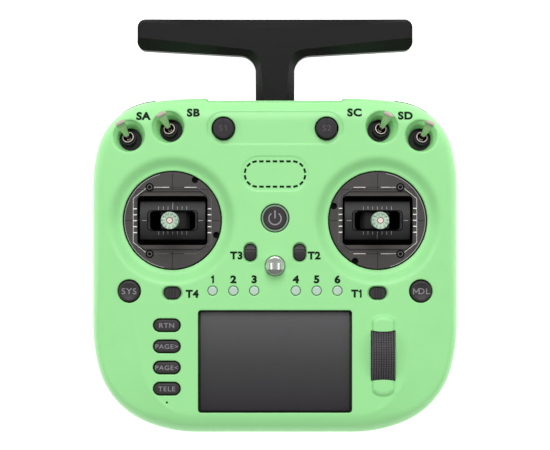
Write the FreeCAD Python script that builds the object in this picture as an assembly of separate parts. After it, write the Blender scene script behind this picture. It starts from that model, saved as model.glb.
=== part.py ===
"""Handheld radio transmitter controller, in millimetres, lying on its back.

Frame: +Z out of the front face, +Y towards the antenna, +X to the user's right.
Origin: under the middle of the whole object's box, on the surface that it rests on.
A soft silicone sleeve wraps a two-part shell. The shell holds two stick gimbals, toggle
switches, keys, knobs, trims, a scroll roller, a screen, the boards, a battery and a module bay.
Every piece is one STEP file in parts/, named after the piece.
"""
import FreeCAD, Part
import math
import os

V = FreeCAD.Vector
X_AXIS, Y_AXIS, Z_AXIS = V(1, 0, 0), V(0, 1, 0), V(0, 0, 1)

# ---- driving dimensions -------------------------------------------------------------------
WIDTH = 187.6                 # across the sleeve
BODY_TOP, BODY_BOTTOM = 65.4, -106.7
ANTENNA_TOP = 108.2
# corner outlines as tangent arcs from the straight side to the flat end: (radius, degrees)
TOP_CORNER = ((80.0, 14.5), (32.1, 67.7), (227.0, 7.8))
BOTTOM_CORNER = ((90.8, 14.3), (41.9, 52.2), (67.1, 23.5))

FRONT_Z = 48.0                # front plateau of the sleeve
BACK_Z = 8.4                  # back lip of the sleeve
PARTING_Z = 22.0              # joint between the front and rear shells
FRONT_ROUND, BACK_ROUND = 12.0, 8.0
SLEEVE = 1.6                  # silicone thickness
WALL = 2.4                    # shell thickness
SHELL_FRONT = FRONT_Z - SLEEVE            # outer face of the front shell
SHELL_INNER = SHELL_FRONT - WALL          # inner face of the front shell
LIP = 9.0                     # how far the sleeve's lip reaches over the back
PORT_CUT = (35.0, 42.0)       # half width and upper level of the sleeve's opening over the ports

# palm facets: the lower corners fall away from the plateau outside this line
CREASE_Y = -99.2
CREASE_POINT, CREASE_LEAN = (67.5, -77.0), 10.2
CREASE_RADIUS, CREASE_SLOPE = 25.0, 12.0

# gimbals
GIMBAL_X, GIMBAL_Y = 52.5, 2.3
DISH_R, DISH_DEPTH, GIMBAL_HOLE_R = 30.4, 3.6, 25.4
BEZEL_R, BEZEL_TOP, BEZEL_T = 24.8, 44.2, 2.2
BEZEL_WINDOW = (36.0, 25.2)
PIVOT_Z, BARREL_R, BARREL_W, BARREL_T = 25.5, 17.0, 33.4, 2.0
BARREL_FACE, BARREL_STEP = 19.4, 1.0       # raised band across the barrel, and its height
SLOT = (22.6, 9.4)
STICK_TOP = 69.4
BEZEL_SCREWS = ((11.6, 17.1), (11.6, -17.1))       # right gimbal; the left one is turned half round
BEZEL_HOLES = ((-22.45, 7.4), (-11.55, -20.75))       # access to the tension screws

# toggle switches: centre of the bushing's rim, well mouth and well floor, for the right-hand pair
TOGGLE_Z, TOGGLE_TILT, TOGGLE_THROW, LEVER_LENGTH = 42.5, 24.0, 28.0, 15.0
TOGGLE_LEAN = (0.45, 0.89)
TOGGLES = {"outer": ((75.3, 45.0), (74.6, 45.5), (74.1, 43.8)),
           "inner": ((54.2, 49.3), (54.4, 50.0), (53.2, 48.4))}
WELL_MOUTH_R, WELL_FLOOR_R, WELL_FLOOR_Z = 8.1, 5.7, 40.0
BUSHING_R = 2.9

# round and stadium controls on the front face
KNOB_X, KNOB_Y, KNOB_R = 26.3, 49.2, 5.4
POWER_Y, POWER_R = 3.5, 5.8
ROUND_KEY_X, ROUND_KEY_Y, ROUND_KEY_R = 74.3, -33.7, 5.4
FUNCTION_Y, FUNCTION_PITCH, FUNCTION_R = -33.5, 10.6, 2.3
MENU_X, MENU_TOP_Y, MENU_PITCH, MENU_CAP = -55.1, -51.1, 10.77, (13.0, 5.8)
TRIMS = {"trim_t1": (52.4, -34.7, "x"), "trim_t2": (12.55, -14.1, "y"),
         "trim_t3": (-12.55, -14.1, "y"), "trim_t4": (-52.4, -34.7, "x")}
TRIM_CAP, TRIM_PIVOT_Z = (8.6, 5.4), 42.4
KEY_TOP, KEY_TRAVEL, KEY_GAP = 48.8, 0.5, 0.6
SCREEN_Y, SCREEN_WINDOW = -69.6, (78.5, 52.3)
ROLLER_X, ROLLER_Y, ROLLER_Z, ROLLER_R, ROLLER_W = 55.1, -66.5, 35.6, 18.0, 11.9
ROLLER_SLOT_W = 12.8
FAIRING_W, FAIRING_LENGTH, FAIRING_RISE = 11.2, 41.9, 1.5   # raised run beside the roller
LANYARD_Y, LANYARD_R, EYE_R, EYE_Z, TAB_R, TAB_T = -20.8, 4.95, 2.0, 52.0, 4.4, 3.3
PINHOLE = (-55.1, -90.5)

# back
HUMP_Z = 2.5
BATTERY_BAY = (44.0, -92.0, -40.0, 23.5)           # half width, lower, upper, depth level
MODULE_BAY = (22.0, -32.0, 36.0, 20.0)
BAY_WALL = 2.0
POD_X, POD_Y, POD_SIZE = 71.0, -14.0, (94.0, 22.0)
PAD_SIZE = (84.0, 14.0)
SCREWS = ((40.0, 44.0), (44.0, -26.0), (70.0, -76.0))
SCREW_R, SCREW_HEAD_R = 1.2, 2.6
SPEAKER = (-54.0, 37.0, 8.2)

# antenna
HINGE_Y, HINGE_Z, KNUCKLE_R, PIN_R = 58.0, 14.0, 6.0, 2.0
BLADE_FRONT, BLADE_BACK, ANTENNA_FILLET = 20.0, 8.0, 8.5
BOARD_Z, BOARD_T = 35.0, 1.6
SWITCH_TOP = 40.1             # top of the tact switches under the keys
JACK_X, USB_X, PORT_Z = -12.0, 12.0, 32.0
DOOR_TOP = 4.7                # inner face of the battery door and the module cover

GAP = 0.2                     # clearance between a cap and its hole
FIT = 0.1                     # clearance between the sleeve and the shell
BUSHING_OUT = 2.4             # how far a toggle bushing stands out of its seat
TRIM_TOP = 48.5
ROLLER_RIBS, RIB_GROOVE_R = 90, 0.34
DUST_COVER = (-8.6, 6.2)      # reach of the cover under the stick's slot, right gimbal
PARTS = {}


# ---- small tools ----------------------------------------------------------------------------
def box(x0, x1, y0, y1, z0, z1):
    return Part.makeBox(x1 - x0, y1 - y0, z1 - z0, V(x0, y0, z0))


def cylinder(r, x, y, z0, z1):
    return Part.makeCylinder(r, z1 - z0, V(x, y, z0), Z_AXIS)


def rod(r, start, end):
    return Part.makeCylinder(r, (end - start).Length, start, end - start)


def rounded(cx, cy, sx, sy, r, z0, z1):
    """Upright prism on a rounded rectangle; r of half the short side makes a stadium."""
    hx, hy = sx / 2.0, sy / 2.0
    r = min(r, hx - 1e-3, hy - 1e-3)
    points = []
    corners = ((hx - r, hy - r), (-hx + r, hy - r), (-hx + r, -hy + r), (hx - r, -hy + r))
    for k, (px, py) in enumerate(corners):
        for turn in (0, 45, 90):
            a = math.radians(90 * k + turn)
            points.append(V(cx + px + r * math.cos(a), cy + py + r * math.sin(a), z0))
    edges = []
    for k in range(4):
        a, b, c = points[3 * k:3 * k + 3]
        edges += [Part.Arc(a, b, c).toShape(), Part.LineSegment(c, points[(3 * k + 3) % 12]).toShape()]
    return Part.Face(Part.Wire(edges)).extrude(V(0, 0, z1 - z0))


def mirrored(shape):
    return shape.mirror(V(0, 0, 0), X_AXIS)


def both(shape):
    return [shape, mirrored(shape)]


def fillet_at(shape, radius, pick):
    """Rounds the edges whose middle point passes pick, and leaves the shape alone if that fails."""
    edges = [e for e in shape.Edges if pick(e.CenterOfMass, e)]
    try:
        done = shape.makeFillet(radius, edges)
        return done if done.isValid() and done.Volume > 0 else shape
    except Exception:
        print("fillet skipped:", radius, len(edges))
        return shape


def keep(name, *shapes):
    """Writes one piece, made of one or more closed solids."""
    solids = []
    for shape in shapes:
        solids += shape.removeSplitter().Solids if len(shapes) == 1 else shape.Solids
    made = solids[0] if len(solids) == 1 else Part.makeCompound(solids)
    bad = [s for s in solids if not s.isValid() or s.Volume <= 0]
    print(f"{name:24s} solids {len(solids)} volume {made.Volume:10.1f}", "BAD" if bad else "")
    PARTS[name] = made
    made.exportStep(f"parts/{name}.step")


# ---- the body's form ------------------------------------------------------------------------
def corner_points(start, heading, arcs, inset):
    """Points of a chain of left-turning arcs: start, then middle and end of each arc."""
    points, at = [start], start
    for radius, degrees in arcs:
        r, turn = radius - inset, math.radians(degrees)
        centre = at + V(-math.sin(heading), math.cos(heading), 0) * r
        for share in (0.5, 1.0):
            a = heading + turn * share
            points.append(centre - V(-math.sin(a), math.cos(a), 0) * r)
        heading, at = heading + turn, points[-1]
    return points


def chain_size(arcs, inset):
    """Distance that a corner takes up along the side and along the end."""
    end = corner_points(V(0, 0, 0), math.pi / 2, arcs, inset)[-1]
    return -end.x, end.y


def outline(inset, z):
    """Closed outline of the body, inset from the sleeve's outside."""
    half = WIDTH / 2.0 - inset
    top_run, top_rise = chain_size(TOP_CORNER, inset)
    bottom_run, bottom_rise = chain_size(BOTTOM_CORNER, inset)
    side_top = V(half, BODY_TOP - inset - top_rise, z)
    flat_end = V(half - bottom_run, BODY_BOTTOM + inset, z)
    bottom = corner_points(flat_end, 0.0, tuple(reversed(BOTTOM_CORNER)), inset)
    top = corner_points(side_top, math.pi / 2, TOP_CORNER, inset)
    right = []
    for chain in (bottom, top):
        right += [Part.Arc(*chain[k:k + 3]).toShape() for k in (0, 2, 4)]
    right.insert(3, Part.LineSegment(bottom[-1], side_top).toShape())
    left = [e.mirror(V(0, 0, 0), X_AXIS) for e in right]
    caps = [Part.LineSegment(V(-p.x, p.y, z), p).toShape() for p in (flat_end, top[-1])]
    return Part.Wire(Part.__sortEdges__(right + left + caps))


def crease_cutter(inset):
    """What the palm facets take off the plateau: everything above the slopes outside the crease."""
    level = FRONT_Z - inset
    reach, top = 45.0, 150.0
    drop = reach * math.tan(math.radians(CREASE_SLOPE))
    lean = math.radians(CREASE_LEAN)

    def wire(offset, z):
        normal_shift = offset / math.cos(lean)
        y0, r = CREASE_Y - offset, CREASE_RADIUS + offset

        def side_x(y):
            return CREASE_POINT[0] + normal_shift + (y - CREASE_POINT[1]) * math.tan(lean)
        turn = math.pi / 2 - lean
        tangent = r * math.tan(turn / 2)
        start = V(side_x(y0) - tangent, y0, z)
        centre = start + V(0, r, 0)
        middle = centre + V(math.sin(turn / 2), -math.cos(turn / 2), 0) * r
        end = centre + V(math.sin(turn), -math.cos(turn), 0) * r
        peak = V(side_x(top), top, z)
        half = [Part.Arc(start, middle, end).toShape(), Part.LineSegment(end, peak).toShape()]
        other = [e.mirror(V(0, 0, 0), X_AXIS) for e in half]
        ends = [Part.LineSegment(V(-p.x, p.y, z), p).toShape() for p in (start, peak)]
        return Part.Wire(Part.__sortEdges__(half + other + ends))

    plateau = Part.makeLoft([wire(0.0, level), wire(reach, level - drop)], True, True)
    block = box(-WIDTH, WIDTH, -WIDTH, top - 1, level - drop + 0.01, level - 0.001)
    cap = box(-WIDTH, WIDTH, -WIDTH, top - 1, level - 0.001, level + 5)
    return block.cut(plateau).fuse(cap)


def body_form(inset):
    """The whole body as a solid, inset from the sleeve's outside."""
    low, high = BACK_Z + inset, FRONT_Z - inset
    solid = Part.Face(outline(inset, low)).extrude(V(0, 0, high - low))

    def level_edges(z):
        return [e for e in solid.Edges if abs(e.BoundBox.ZMin - z) < 1e-6 and abs(e.BoundBox.ZMax - z) < 1e-6]
    solid = solid.makeFillet(FRONT_ROUND - inset, level_edges(high))
    solid = solid.makeFillet(BACK_ROUND - inset, level_edges(low))
    return solid.cut(crease_cutter(inset))


def dish(inset, sign):
    """The dished surround of a gimbal, for the surface at this inset."""
    top, low = FRONT_Z - inset, FRONT_Z - inset - DISH_DEPTH
    slope = (DISH_R - GIMBAL_HOLE_R) / DISH_DEPTH
    return Part.makeCone(GIMBAL_HOLE_R, DISH_R + 2 * slope, top + 2 - low, V(sign * GIMBAL_X, GIMBAL_Y, low))


def oblique(mouth, mouth_r, mouth_z, floor, floor_r, floor_z):
    """Leaning cone between two level circles."""
    wires = [Part.Wire(Part.makeCircle(r, V(c[0], c[1], z), Z_AXIS))
             for c, r, z in ((mouth, mouth_r, mouth_z), (floor, floor_r, floor_z))]
    return Part.makeLoft(wires, True, True)


def well(grow, top, bottom, place):
    """Finger well of a toggle, wider by grow, between two levels."""
    _, mouth, floor = place

    def at(z):
        t = (z - WELL_FLOOR_Z) / (FRONT_Z - WELL_FLOOR_Z)
        centre = [f + (m - f) * t for m, f in zip(mouth, floor)]
        return centre, WELL_FLOOR_R + (WELL_MOUTH_R - WELL_FLOOR_R) * t + grow
    (c1, r1), (c0, r0) = at(top), at(bottom)
    return oblique(c1, r1, top, c0, r0, bottom)


def toggle_frame(place):
    """Rim centre, pivot, bushing direction, lever direction and level axis of a right-hand toggle."""
    length = math.hypot(*TOGGLE_LEAN)
    lean = V(TOGGLE_LEAN[0] / length, TOGGLE_LEAN[1] / length, 0)
    rim = V(place[0][0], place[0][1], TOGGLE_Z)

    def tilted(degrees):
        a = math.radians(degrees)
        return lean * math.sin(a) + Z_AXIS * math.cos(a)
    along = tilted(TOGGLE_TILT)
    lever = tilted(TOGGLE_TILT + TOGGLE_THROW / 2.0)
    return rim, rim - along * 3.0, along, lever, V(-lean.y, lean.x, 0)


# ---- shells and sleeve ------------------------------------------------------------------------
def roller_fairing():
    """Low raised run with rounded ends that leads the thumb onto the scroll roller."""
    top = FRONT_Z + FAIRING_RISE
    run = rounded(ROLLER_X, ROLLER_Y, FAIRING_W, FAIRING_LENGTH, FAIRING_W / 2.0, FRONT_Z - 1.0, top)
    return fillet_at(run, 1.4, lambda c, e: abs(c.z - top) < 0.01)


def roller_slot():
    return rod(ROLLER_R + 0.7, V(ROLLER_X - ROLLER_SLOT_W / 2.0, ROLLER_Y, ROLLER_Z),
               V(ROLLER_X + ROLLER_SLOT_W / 2.0, ROLLER_Y, ROLLER_Z))


def trim_box(place, grow, z0, z1):
    x, y, way = place
    along, across = TRIM_CAP[0] + 2 * grow, TRIM_CAP[1] + 2 * grow
    size = (along, across) if way == "x" else (across, along)
    return rounded(x, y, size[0], size[1], across / 2.0, z0, z1)


def function_keys():
    return [(side * step * FUNCTION_PITCH, FUNCTION_Y) for side in (-1, 1) for step in (1, 2, 3)]


def menu_keys():
    return [(MENU_X, MENU_TOP_Y - MENU_PITCH * k) for k in range(4)]


def front_holes(grow):
    """Straight holes through the front for every control, wider by grow than the shell's own."""
    z0, z1 = 38.0, 60.0
    holes = [cylinder(KNOB_R + 0.65, side * KNOB_X, KNOB_Y, z0, z1) for side in (-1, 1)]
    holes += [cylinder(ROUND_KEY_R + KEY_GAP, side * ROUND_KEY_X, ROUND_KEY_Y, z0, z1) for side in (-1, 1)]
    holes += [cylinder(FUNCTION_R + GAP, x, y, z0, z1) for x, y in function_keys()]
    holes.append(cylinder(POWER_R + 1.3 + grow, 0, POWER_Y, z0, z1))
    for x, y in menu_keys():
        size = [s + 2 * KEY_GAP for s in MENU_CAP]
        holes.append(rounded(x, y, size[0], size[1], size[1] / 2.0, z0, z1))
    holes += [trim_box(place, 0.35, z0, z1) for place in TRIMS.values()]
    holes.append(cylinder(0.5, PINHOLE[0], PINHOLE[1], z0, z1))
    return holes


def shoulder_window(grow, y0):
    return box(62.0 - grow, 79.0 + grow, y0, 90, 23.5 - grow, 32.5 + grow)


def front_shell():
    skin = SLEEVE + FIT
    inner = body_form(skin + WALL)
    shell = body_form(skin).cut(inner).common(box(-200, 200, -200, 200, PARTING_Z, 60))
    limit = body_form(skin + 0.8)
    added = []
    for side in (-1, 1):
        added.append(cylinder(31.5, side * GIMBAL_X, GIMBAL_Y, 38.8, SHELL_INNER + 0.3))
        for x, y in SCREWS:
            added.append(cylinder(3.2, side * x, y, PARTING_Z + 0.1, SHELL_INNER + 0.3).common(limit))
    wells, cuts = [], []
    for place in TOGGLES.values():
        rim, _, along, _, _ = toggle_frame(place)
        seat = rim - along * BUSHING_OUT
        cup = well(1.0 + FIT + 1.8, SHELL_INNER + 0.3, WELL_FLOOR_Z - 2.0, place).common(limit)
        added += both(cup.fuse(rod(5.6, seat - along * 3.6, seat)))
        wells += both(well(1.0 + FIT, 55.0, WELL_FLOOR_Z, place))
        cuts += both(rod(5.2, seat, seat + along * 14)) + both(rod(BUSHING_R + 0.1, seat - along * 9, seat))
    for x, y, way in TRIMS.values():
        for end in (-1, 1):
            edge = TRIM_CAP[1] / 2
            lug = box(-1.6, 1.6, edge + 0.4, edge + 1.7, TRIM_PIVOT_Z - 1.5, SHELL_INNER + 0.3)
            turn = -90 * end if way == "y" else 90 + 90 * end
            lug.rotate(V(0, 0, 0), Z_AXIS, turn)
            lug.translate(V(x, y, 0))
            added.append(lug)
        across = Y_AXIS if way == "x" else X_AXIS
        centre = V(x, y, TRIM_PIVOT_Z)
        cuts.append(rod(0.85, centre - across * 5.2, centre + across * 5.2))
    shell = shell.multiFuse(added)
    cuts += wells
    for side in (-1, 1):
        cuts.append(dish(skin, side))
        cuts.append(cylinder(BEZEL_R + 0.3, side * GIMBAL_X, GIMBAL_Y, 30, 60))
        for x, y in SCREWS:
            cuts.append(cylinder(SCREW_R + 0.05, side * x, y, PARTING_Z, 33))
    cuts += [roller_slot(), box(ROLLER_X - 8.3, ROLLER_X + 8.3, ROLLER_Y - 4.8, ROLLER_Y + 4.8, 26, 42.2)]
    cuts += [cylinder(ROUND_KEY_R + 1.8, side * ROUND_KEY_X, ROUND_KEY_Y, 38, 44.0) for side in (-1, 1)]
    cuts += front_holes(0.0) + both(shoulder_window(0.3, 50.0))
    cuts.append(rounded(0, SCREEN_Y, SCREEN_WINDOW[0] + 2.4, SCREEN_WINDOW[1] + 2.4, 1.6, 38, 60))
    cuts.append(cylinder(2.7, 0, LANYARD_Y, 38, 60))
    cuts.append(rod(3.1, V(JACK_X, 50, PORT_Z), V(JACK_X, 70, PORT_Z)))
    cuts.append(box(USB_X - 4.8, USB_X + 4.8, 50, 70, PORT_Z - 1.9, PORT_Z + 1.9))
    keep("front_shell", cut_all(shell, cuts))


def cut_all(shape, cuts):
    for tool in cuts:
        shape = shape.cut(tool)
    return shape


def silicone_sleeve():
    inner = body_form(SLEEVE)
    for side in (-1, 1):
        inner = inner.cut(dish(SLEEVE, side))
    outer = body_form(0.0)
    sleeve = outer.cut(inner)
    added, cuts = [], []
    for place in TOGGLES.values():
        added += both(well(1.0, FRONT_Z - 0.4, WELL_FLOOR_Z + 0.05, place))
        cuts += both(well(0.0, 55.0, WELL_FLOOR_Z - 1.0, place))
    added.append(roller_fairing())
    sleeve = sleeve.multiFuse(added)
    for side in (-1, 1):
        cuts += [dish(0.0, side), cylinder(GIMBAL_HOLE_R, side * GIMBAL_X, GIMBAL_Y, 30, 60)]
    cuts += [roller_slot()] + front_holes(0.2) + both(shoulder_window(0.6, 50.0))
    cuts.append(rounded(0, SCREEN_Y, SCREEN_WINDOW[0], SCREEN_WINDOW[1], 1.6, 38, 60))
    cuts.append(cylinder(LANYARD_R + 0.3, 0, LANYARD_Y, 38, 60))
    cuts.append(box(-PORT_CUT[0], PORT_CUT[0], 55, 90, 0, PORT_CUT[1]))
    cuts.append(Part.Face(outline(LIP, 0)).extrude(V(0, 0, 14)))
    keep("silicone_sleeve", cut_all(sleeve, cuts))


def hump(grow, low, high):
    return rounded(0, -26.0, 96.0 + 2 * grow, 140.0 + 2 * grow, 12.0 + grow, low, high)


def rear_shell():
    skin = SLEEVE + FIT
    shell = body_form(skin).common(box(-200, 200, -200, 200, 0, PARTING_Z - 0.05))
    outer_hump = fillet_at(hump(0, HUMP_Z, 14.0), 3.0, lambda c, e: abs(c.z - HUMP_Z) < 0.01)
    outer_pods = []
    inner_pods = []
    for side in (-1, 1):
        pod = rounded(side * POD_X, POD_Y, POD_SIZE[1], POD_SIZE[0], POD_SIZE[1] / 2.0, 1.5, 14.0)
        outer_pods.append(fillet_at(pod, 3.5, lambda c, e: abs(c.z - 1.5) < 0.01))
        inner_pods.append(rounded(side * POD_X, POD_Y, POD_SIZE[1] - 5, POD_SIZE[0] - 5, 8.5, 4.6, 15.0))
    shell = shell.multiFuse([outer_hump] + outer_pods)
    cavity = body_form(skin + WALL).common(box(-200, 200, -200, 200, 0, PARTING_Z + 5))
    shell = cut_all(shell, [cavity, hump(-2.4, HUMP_Z + 2.4, 16.0)] + inner_pods)
    half, low, high, level = BATTERY_BAY
    m_half, m_low, m_high, m_level = MODULE_BAY
    w = BAY_WALL
    added = [box(-half - w, half + w, low - w, high + w, HUMP_Z + 1.5, level + w),
             box(-m_half - w, m_half + w, m_low - w, m_high + w, HUMP_Z + 1.5, m_level + w),
             box(-13, 13, HINGE_Y - 9, 62.5, 10.2, PARTING_Z - 0.05),
             cylinder(3.0, ROLLER_X, ROLLER_Y, 11.0, 14.0)]
    for side in (-1, 1):
        for x, y in SCREWS:
            added.append(cylinder(4.3, side * x, y, 10.2, PARTING_Z - 0.05))
    shell = shell.multiFuse(added)
    cuts = [box(-half, half, low, high, 0, level), box(-m_half, m_half, m_low, m_high, 0, m_level),
            box(-m_half - 1.2, m_half + 1.2, m_low - 1.2, m_high + 1.2, 0, DOOR_TOP + 0.2),
            box(-half - 1.2, half + 1.2, low - 8, high + 1.2, 0, DOOR_TOP + 0.2),
            box(-10.5, 10.5, HINGE_Y - 6.6, 80, 0, 20.6),
            rod(PIN_R + 0.05, V(-12.3, HINGE_Y, HINGE_Z), V(12.3, HINGE_Y, HINGE_Z))]
    for side in (-1, 1):
        cuts.append(rounded(side * POD_X, POD_Y, PAD_SIZE[1] + 0.2, PAD_SIZE[0] + 0.2, 7.1, 0, 3.1))
        for x, y in SCREWS:
            cuts.append(cylinder(SCREW_HEAD_R + 0.2, side * x, y, 0, 16.0))
            cuts.append(cylinder(SCREW_R + 0.3, side * x, y, 0, 30))
    for k in range(-2, 3):
        half_slot = math.sqrt(49 - (2.6 * k) ** 2)
        x, y = SPEAKER[0] + 2.6 * k, SPEAKER[1]
        cuts.append(rounded(x, y, 1.3, 2 * half_slot, 0.65, 0, 14))
    keep("rear_shell", cut_all(shell, cuts))


def doors():
    half, low, high, _ = BATTERY_BAY
    form = fillet_at(hump(0, HUMP_Z, 14.0), 3.0, lambda c, e: abs(c.z - HUMP_Z) < 0.01)
    door = form.common(box(-half - 1.0, half + 1.0, low - 8, high + 1.0, 0, DOOR_TOP))
    grip = [rounded(0, low + 6 + 2.2 * k, 22, 1.0, 0.5, 0, HUMP_Z + 0.5) for k in range(4)]
    keep("battery_door", cut_all(door, grip))
    m_half, m_low, m_high, _ = MODULE_BAY
    cover = rounded(0, (m_low + m_high) / 2.0, 2 * m_half + 2, m_high - m_low + 2, 0.4, HUMP_Z, DOOR_TOP)
    ribs = [rounded(0, m_low + 14 + 4 * k, 30, 1.6, 0.8, 0, HUMP_Z + 0.6) for k in range(11)]
    keep("module_bay_cover", cut_all(cover, ribs))


def battery_pack():
    z, r, length = 14.2, 9.1, 37.0
    low, high = -75.3, -56.7
    cells = [rod(r, V(-length, y, z), V(length, y, z)) for y in (low, high)]
    keep("battery_pack", cells[0].fuse(cells[1]).fuse(box(-length, length, low, high, z - r, z + r)))


def rear_grips():
    pads = []
    for side in (-1, 1):
        pad = rounded(side * POD_X, POD_Y, PAD_SIZE[1], PAD_SIZE[0], 7.0, 0, 3.0)
        pad = fillet_at(pad, 0.8, lambda c, e: c.z < 0.01)
        grooves = [rounded(side * POD_X, POD_Y - 30 + 6 * k, 9.0, 1.6, 0.8, -1, 0.8) for k in range(11)]
        pads.append(cut_all(pad, grooves))
    keep("rear_grips", *pads)


def shell_screws():
    made = []
    for side in (-1, 1):
        for x, y in SCREWS:
            head = cylinder(SCREW_HEAD_R, side * x, y, 13.6, 16.0)
            slot = [box(side * x - a, side * x + a, y - b, y + b, 13, 14.6)
                    for a, b in ((1.5, 0.35), (0.35, 1.5))]
            made.append(cut_all(head.fuse(cylinder(SCREW_R, side * x, y, 15.0, 32)), slot))
    keep("shell_screws", *made)


# ---- gimbals and sticks -------------------------------------------------------------------------
def at_gimbal(shape, side):
    """Places a piece built for the right-hand gimbal at the origin; the left one is turned half round."""
    placed = shape.copy()
    if side < 0:
        placed.rotate(V(0, 0, 0), Z_AXIS, 180)
    placed.translate(V(side * GIMBAL_X, GIMBAL_Y, 0))
    return placed


def gimbal_bezel():
    low = BEZEL_TOP - BEZEL_T
    plate = cylinder(BEZEL_R, 0, 0, low, BEZEL_TOP)
    plate = fillet_at(plate, 0.5, lambda c, e: abs(c.z - BEZEL_TOP) < 0.01)
    cuts = [rounded(0, 0, BEZEL_WINDOW[0], BEZEL_WINDOW[1], 2.0, 40, 46)]
    ledge = rounded(0, 0, BEZEL_WINDOW[0] + 1.4, BEZEL_WINDOW[1] + 7.0, 1.0, BEZEL_TOP - 0.5, 46)
    cuts.append(ledge)
    for x, y in BEZEL_SCREWS:
        cuts += [cylinder(1.15, x, y, 40, 46), cylinder(2.0, x, y, BEZEL_TOP - 1.0, 46)]
    cuts += [cylinder(1.7, x, y, 40, 46) for x, y in BEZEL_HOLES]
    return cut_all(plate, cuts)


def gimbal_frame():
    top = BEZEL_TOP - BEZEL_T - 0.02
    drum = cylinder(24.7, 0, 0, 14, top)
    frame = drum.common(box(-21.5, 21.5, -21.5, 21.5, 14, top))
    inside = cylinder(23.9, 0, 0, 10, 60).common(box(-18.9, 18.9, -19.2, 19.2, 10, 60))
    frame = frame.cut(inside)
    frame = frame.multiFuse([cylinder(2.6, x, y, 36, top).common(drum) for x, y in BEZEL_SCREWS])
    sensors = [rod(6.0, V(21.0, 0, PIVOT_Z), V(24.6, 0, PIVOT_Z)),
               rod(6.0, V(0, -24.6, 20.5), V(0, -21.0, 20.5))]
    frame = frame.multiFuse(sensors)
    cuts = [cylinder(1.05, x, y, 34, 44) for x, y in BEZEL_SCREWS]
    cuts += [rod(2.55, V(s * 18, 0, PIVOT_Z), V(s * 22.5, 0, PIVOT_Z)) for s in (-1, 1)]
    return cut_all(frame, cuts)


def gimbal_yoke():
    """Half-barrel that turns about X and carries the stick's cross axle between two lugs."""
    half = BARREL_W / 2.0
    face = BARREL_FACE / 2.0
    barrel = rod(BARREL_R, V(-half, 0, PIVOT_Z), V(half, 0, PIVOT_Z)).common(
        box(-30, 30, -face, face, PIVOT_Z, 60))
    barrel = barrel.fuse(rod(BARREL_R - BARREL_STEP, V(-half, 0, PIVOT_Z), V(half, 0, PIVOT_Z)))
    hollow = rod(BARREL_R - BARREL_T, V(-half + BARREL_T, 0, PIVOT_Z), V(half - BARREL_T, 0, PIVOT_Z))
    barrel = barrel.cut(hollow).cut(box(-30, 30, -30, 30, 0, PIVOT_Z - 3.4))
    pins = [rod(2.5, V(s * (half - 0.5), 0, PIVOT_Z), V(s * 21.4, 0, PIVOT_Z)) for s in (-1, 1)]
    lug_top = PIVOT_Z + BARREL_R - BARREL_T / 2.0
    slab = rod(BARREL_R - 0.4, V(-20, 0, PIVOT_Z), V(20, 0, PIVOT_Z))
    lugs = [box(-3.6, 3.6, low, low + 2.2, PIVOT_Z - 3.0, lug_top).common(slab) for low in (-7.4, 5.2)]
    yoke = barrel.multiFuse(pins + lugs)
    recess = rounded(0, 0, 25.9, 10.5, 2.0, PIVOT_Z + BARREL_R - 0.6, 60)
    slot = rounded(0, 0, SLOT[0], SLOT[1], 1.6, PIVOT_Z + 8, 60)
    axle = rod(1.55, V(0, -8, PIVOT_Z), V(0, 8, PIVOT_Z))
    return cut_all(yoke, [recess, slot, axle])


def stick_shaft():
    """Stick with its cross axle and the curved dust cover that follows it under the slot."""
    hub = rod(3.4, V(0, -4.9, PIVOT_Z), V(0, 4.9, PIVOT_Z))
    axle = rod(1.5, V(0, -7.2, PIVOT_Z), V(0, 7.2, PIVOT_Z))
    outer = rod(14.7, V(0, -4.2, PIVOT_Z), V(0, 4.2, PIVOT_Z))
    cover = outer.cut(rod(13.5, V(0, -5, PIVOT_Z), V(0, 5, PIVOT_Z)))
    cover = cover.common(box(DUST_COVER[0], DUST_COVER[1], -5, 5, PIVOT_Z + 6.5, 60))
    shaft = cylinder(2.4, 0, 0, PIVOT_Z, 57.0)
    stud = cylinder(1.9, 0, 0, 56.0, STICK_TOP - 2.2)
    return hub.multiFuse([axle, cover, shaft, stud])


def stick_end():
    low = 57.1
    body = cylinder(4.25, 0, 0, low, STICK_TOP)
    body = fillet_at(body, 0.6, lambda c, e: abs(c.z - low) < 0.01)
    groove = cylinder(6, 0, 0, 59.0, 60.0).cut(cylinder(3.5, 0, 0, 58, 61))
    cuts = [groove, cylinder(1.95, 0, 0, low - 1, STICK_TOP - 2.1), cylinder(1.6, 0, 0, STICK_TOP - 1.4, 80),
            Part.makeCone(1.6, 3.6, 1.2, V(0, 0, STICK_TOP - 1.2), Z_AXIS)]
    tooth = Part.makeBox(6, 0.9, 1.3, V(1.2, -0.45, STICK_TOP - 1.0))
    for k in range(12):
        turned = tooth.copy()
        turned.rotate(V(0, 0, 0), Z_AXIS, 30 * k)
        cuts.append(turned)
    return cut_all(body, cuts)


def gimbals():
    for side, word in ((-1, "left"), (1, "right")):
        keep("gimbal_bezel_" + word, at_gimbal(gimbal_bezel(), side))
        keep("gimbal_frame_" + word, at_gimbal(gimbal_frame(), side))
        keep("gimbal_yoke_" + word, at_gimbal(gimbal_yoke(), side))
        keep("stick_shaft_" + word, at_gimbal(stick_shaft(), side))
        keep("stick_end_" + word, at_gimbal(stick_end(), side))
    screws = []
    for side in (-1, 1):
        for x, y in BEZEL_SCREWS:
            head = cylinder(1.75, x, y, BEZEL_TOP - 0.98, BEZEL_TOP + 0.1)
            slot = [box(x - a, x + a, y - b, y + b, BEZEL_TOP - 0.5, 46)
                    for a, b in ((1.1, 0.25), (0.25, 1.1))]
            shank = cylinder(1.0, x, y, 37.0, BEZEL_TOP - 0.5)
            screws.append(at_gimbal(cut_all(head.fuse(shank), slot), side))
    keep("bezel_screws", *screws)


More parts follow.
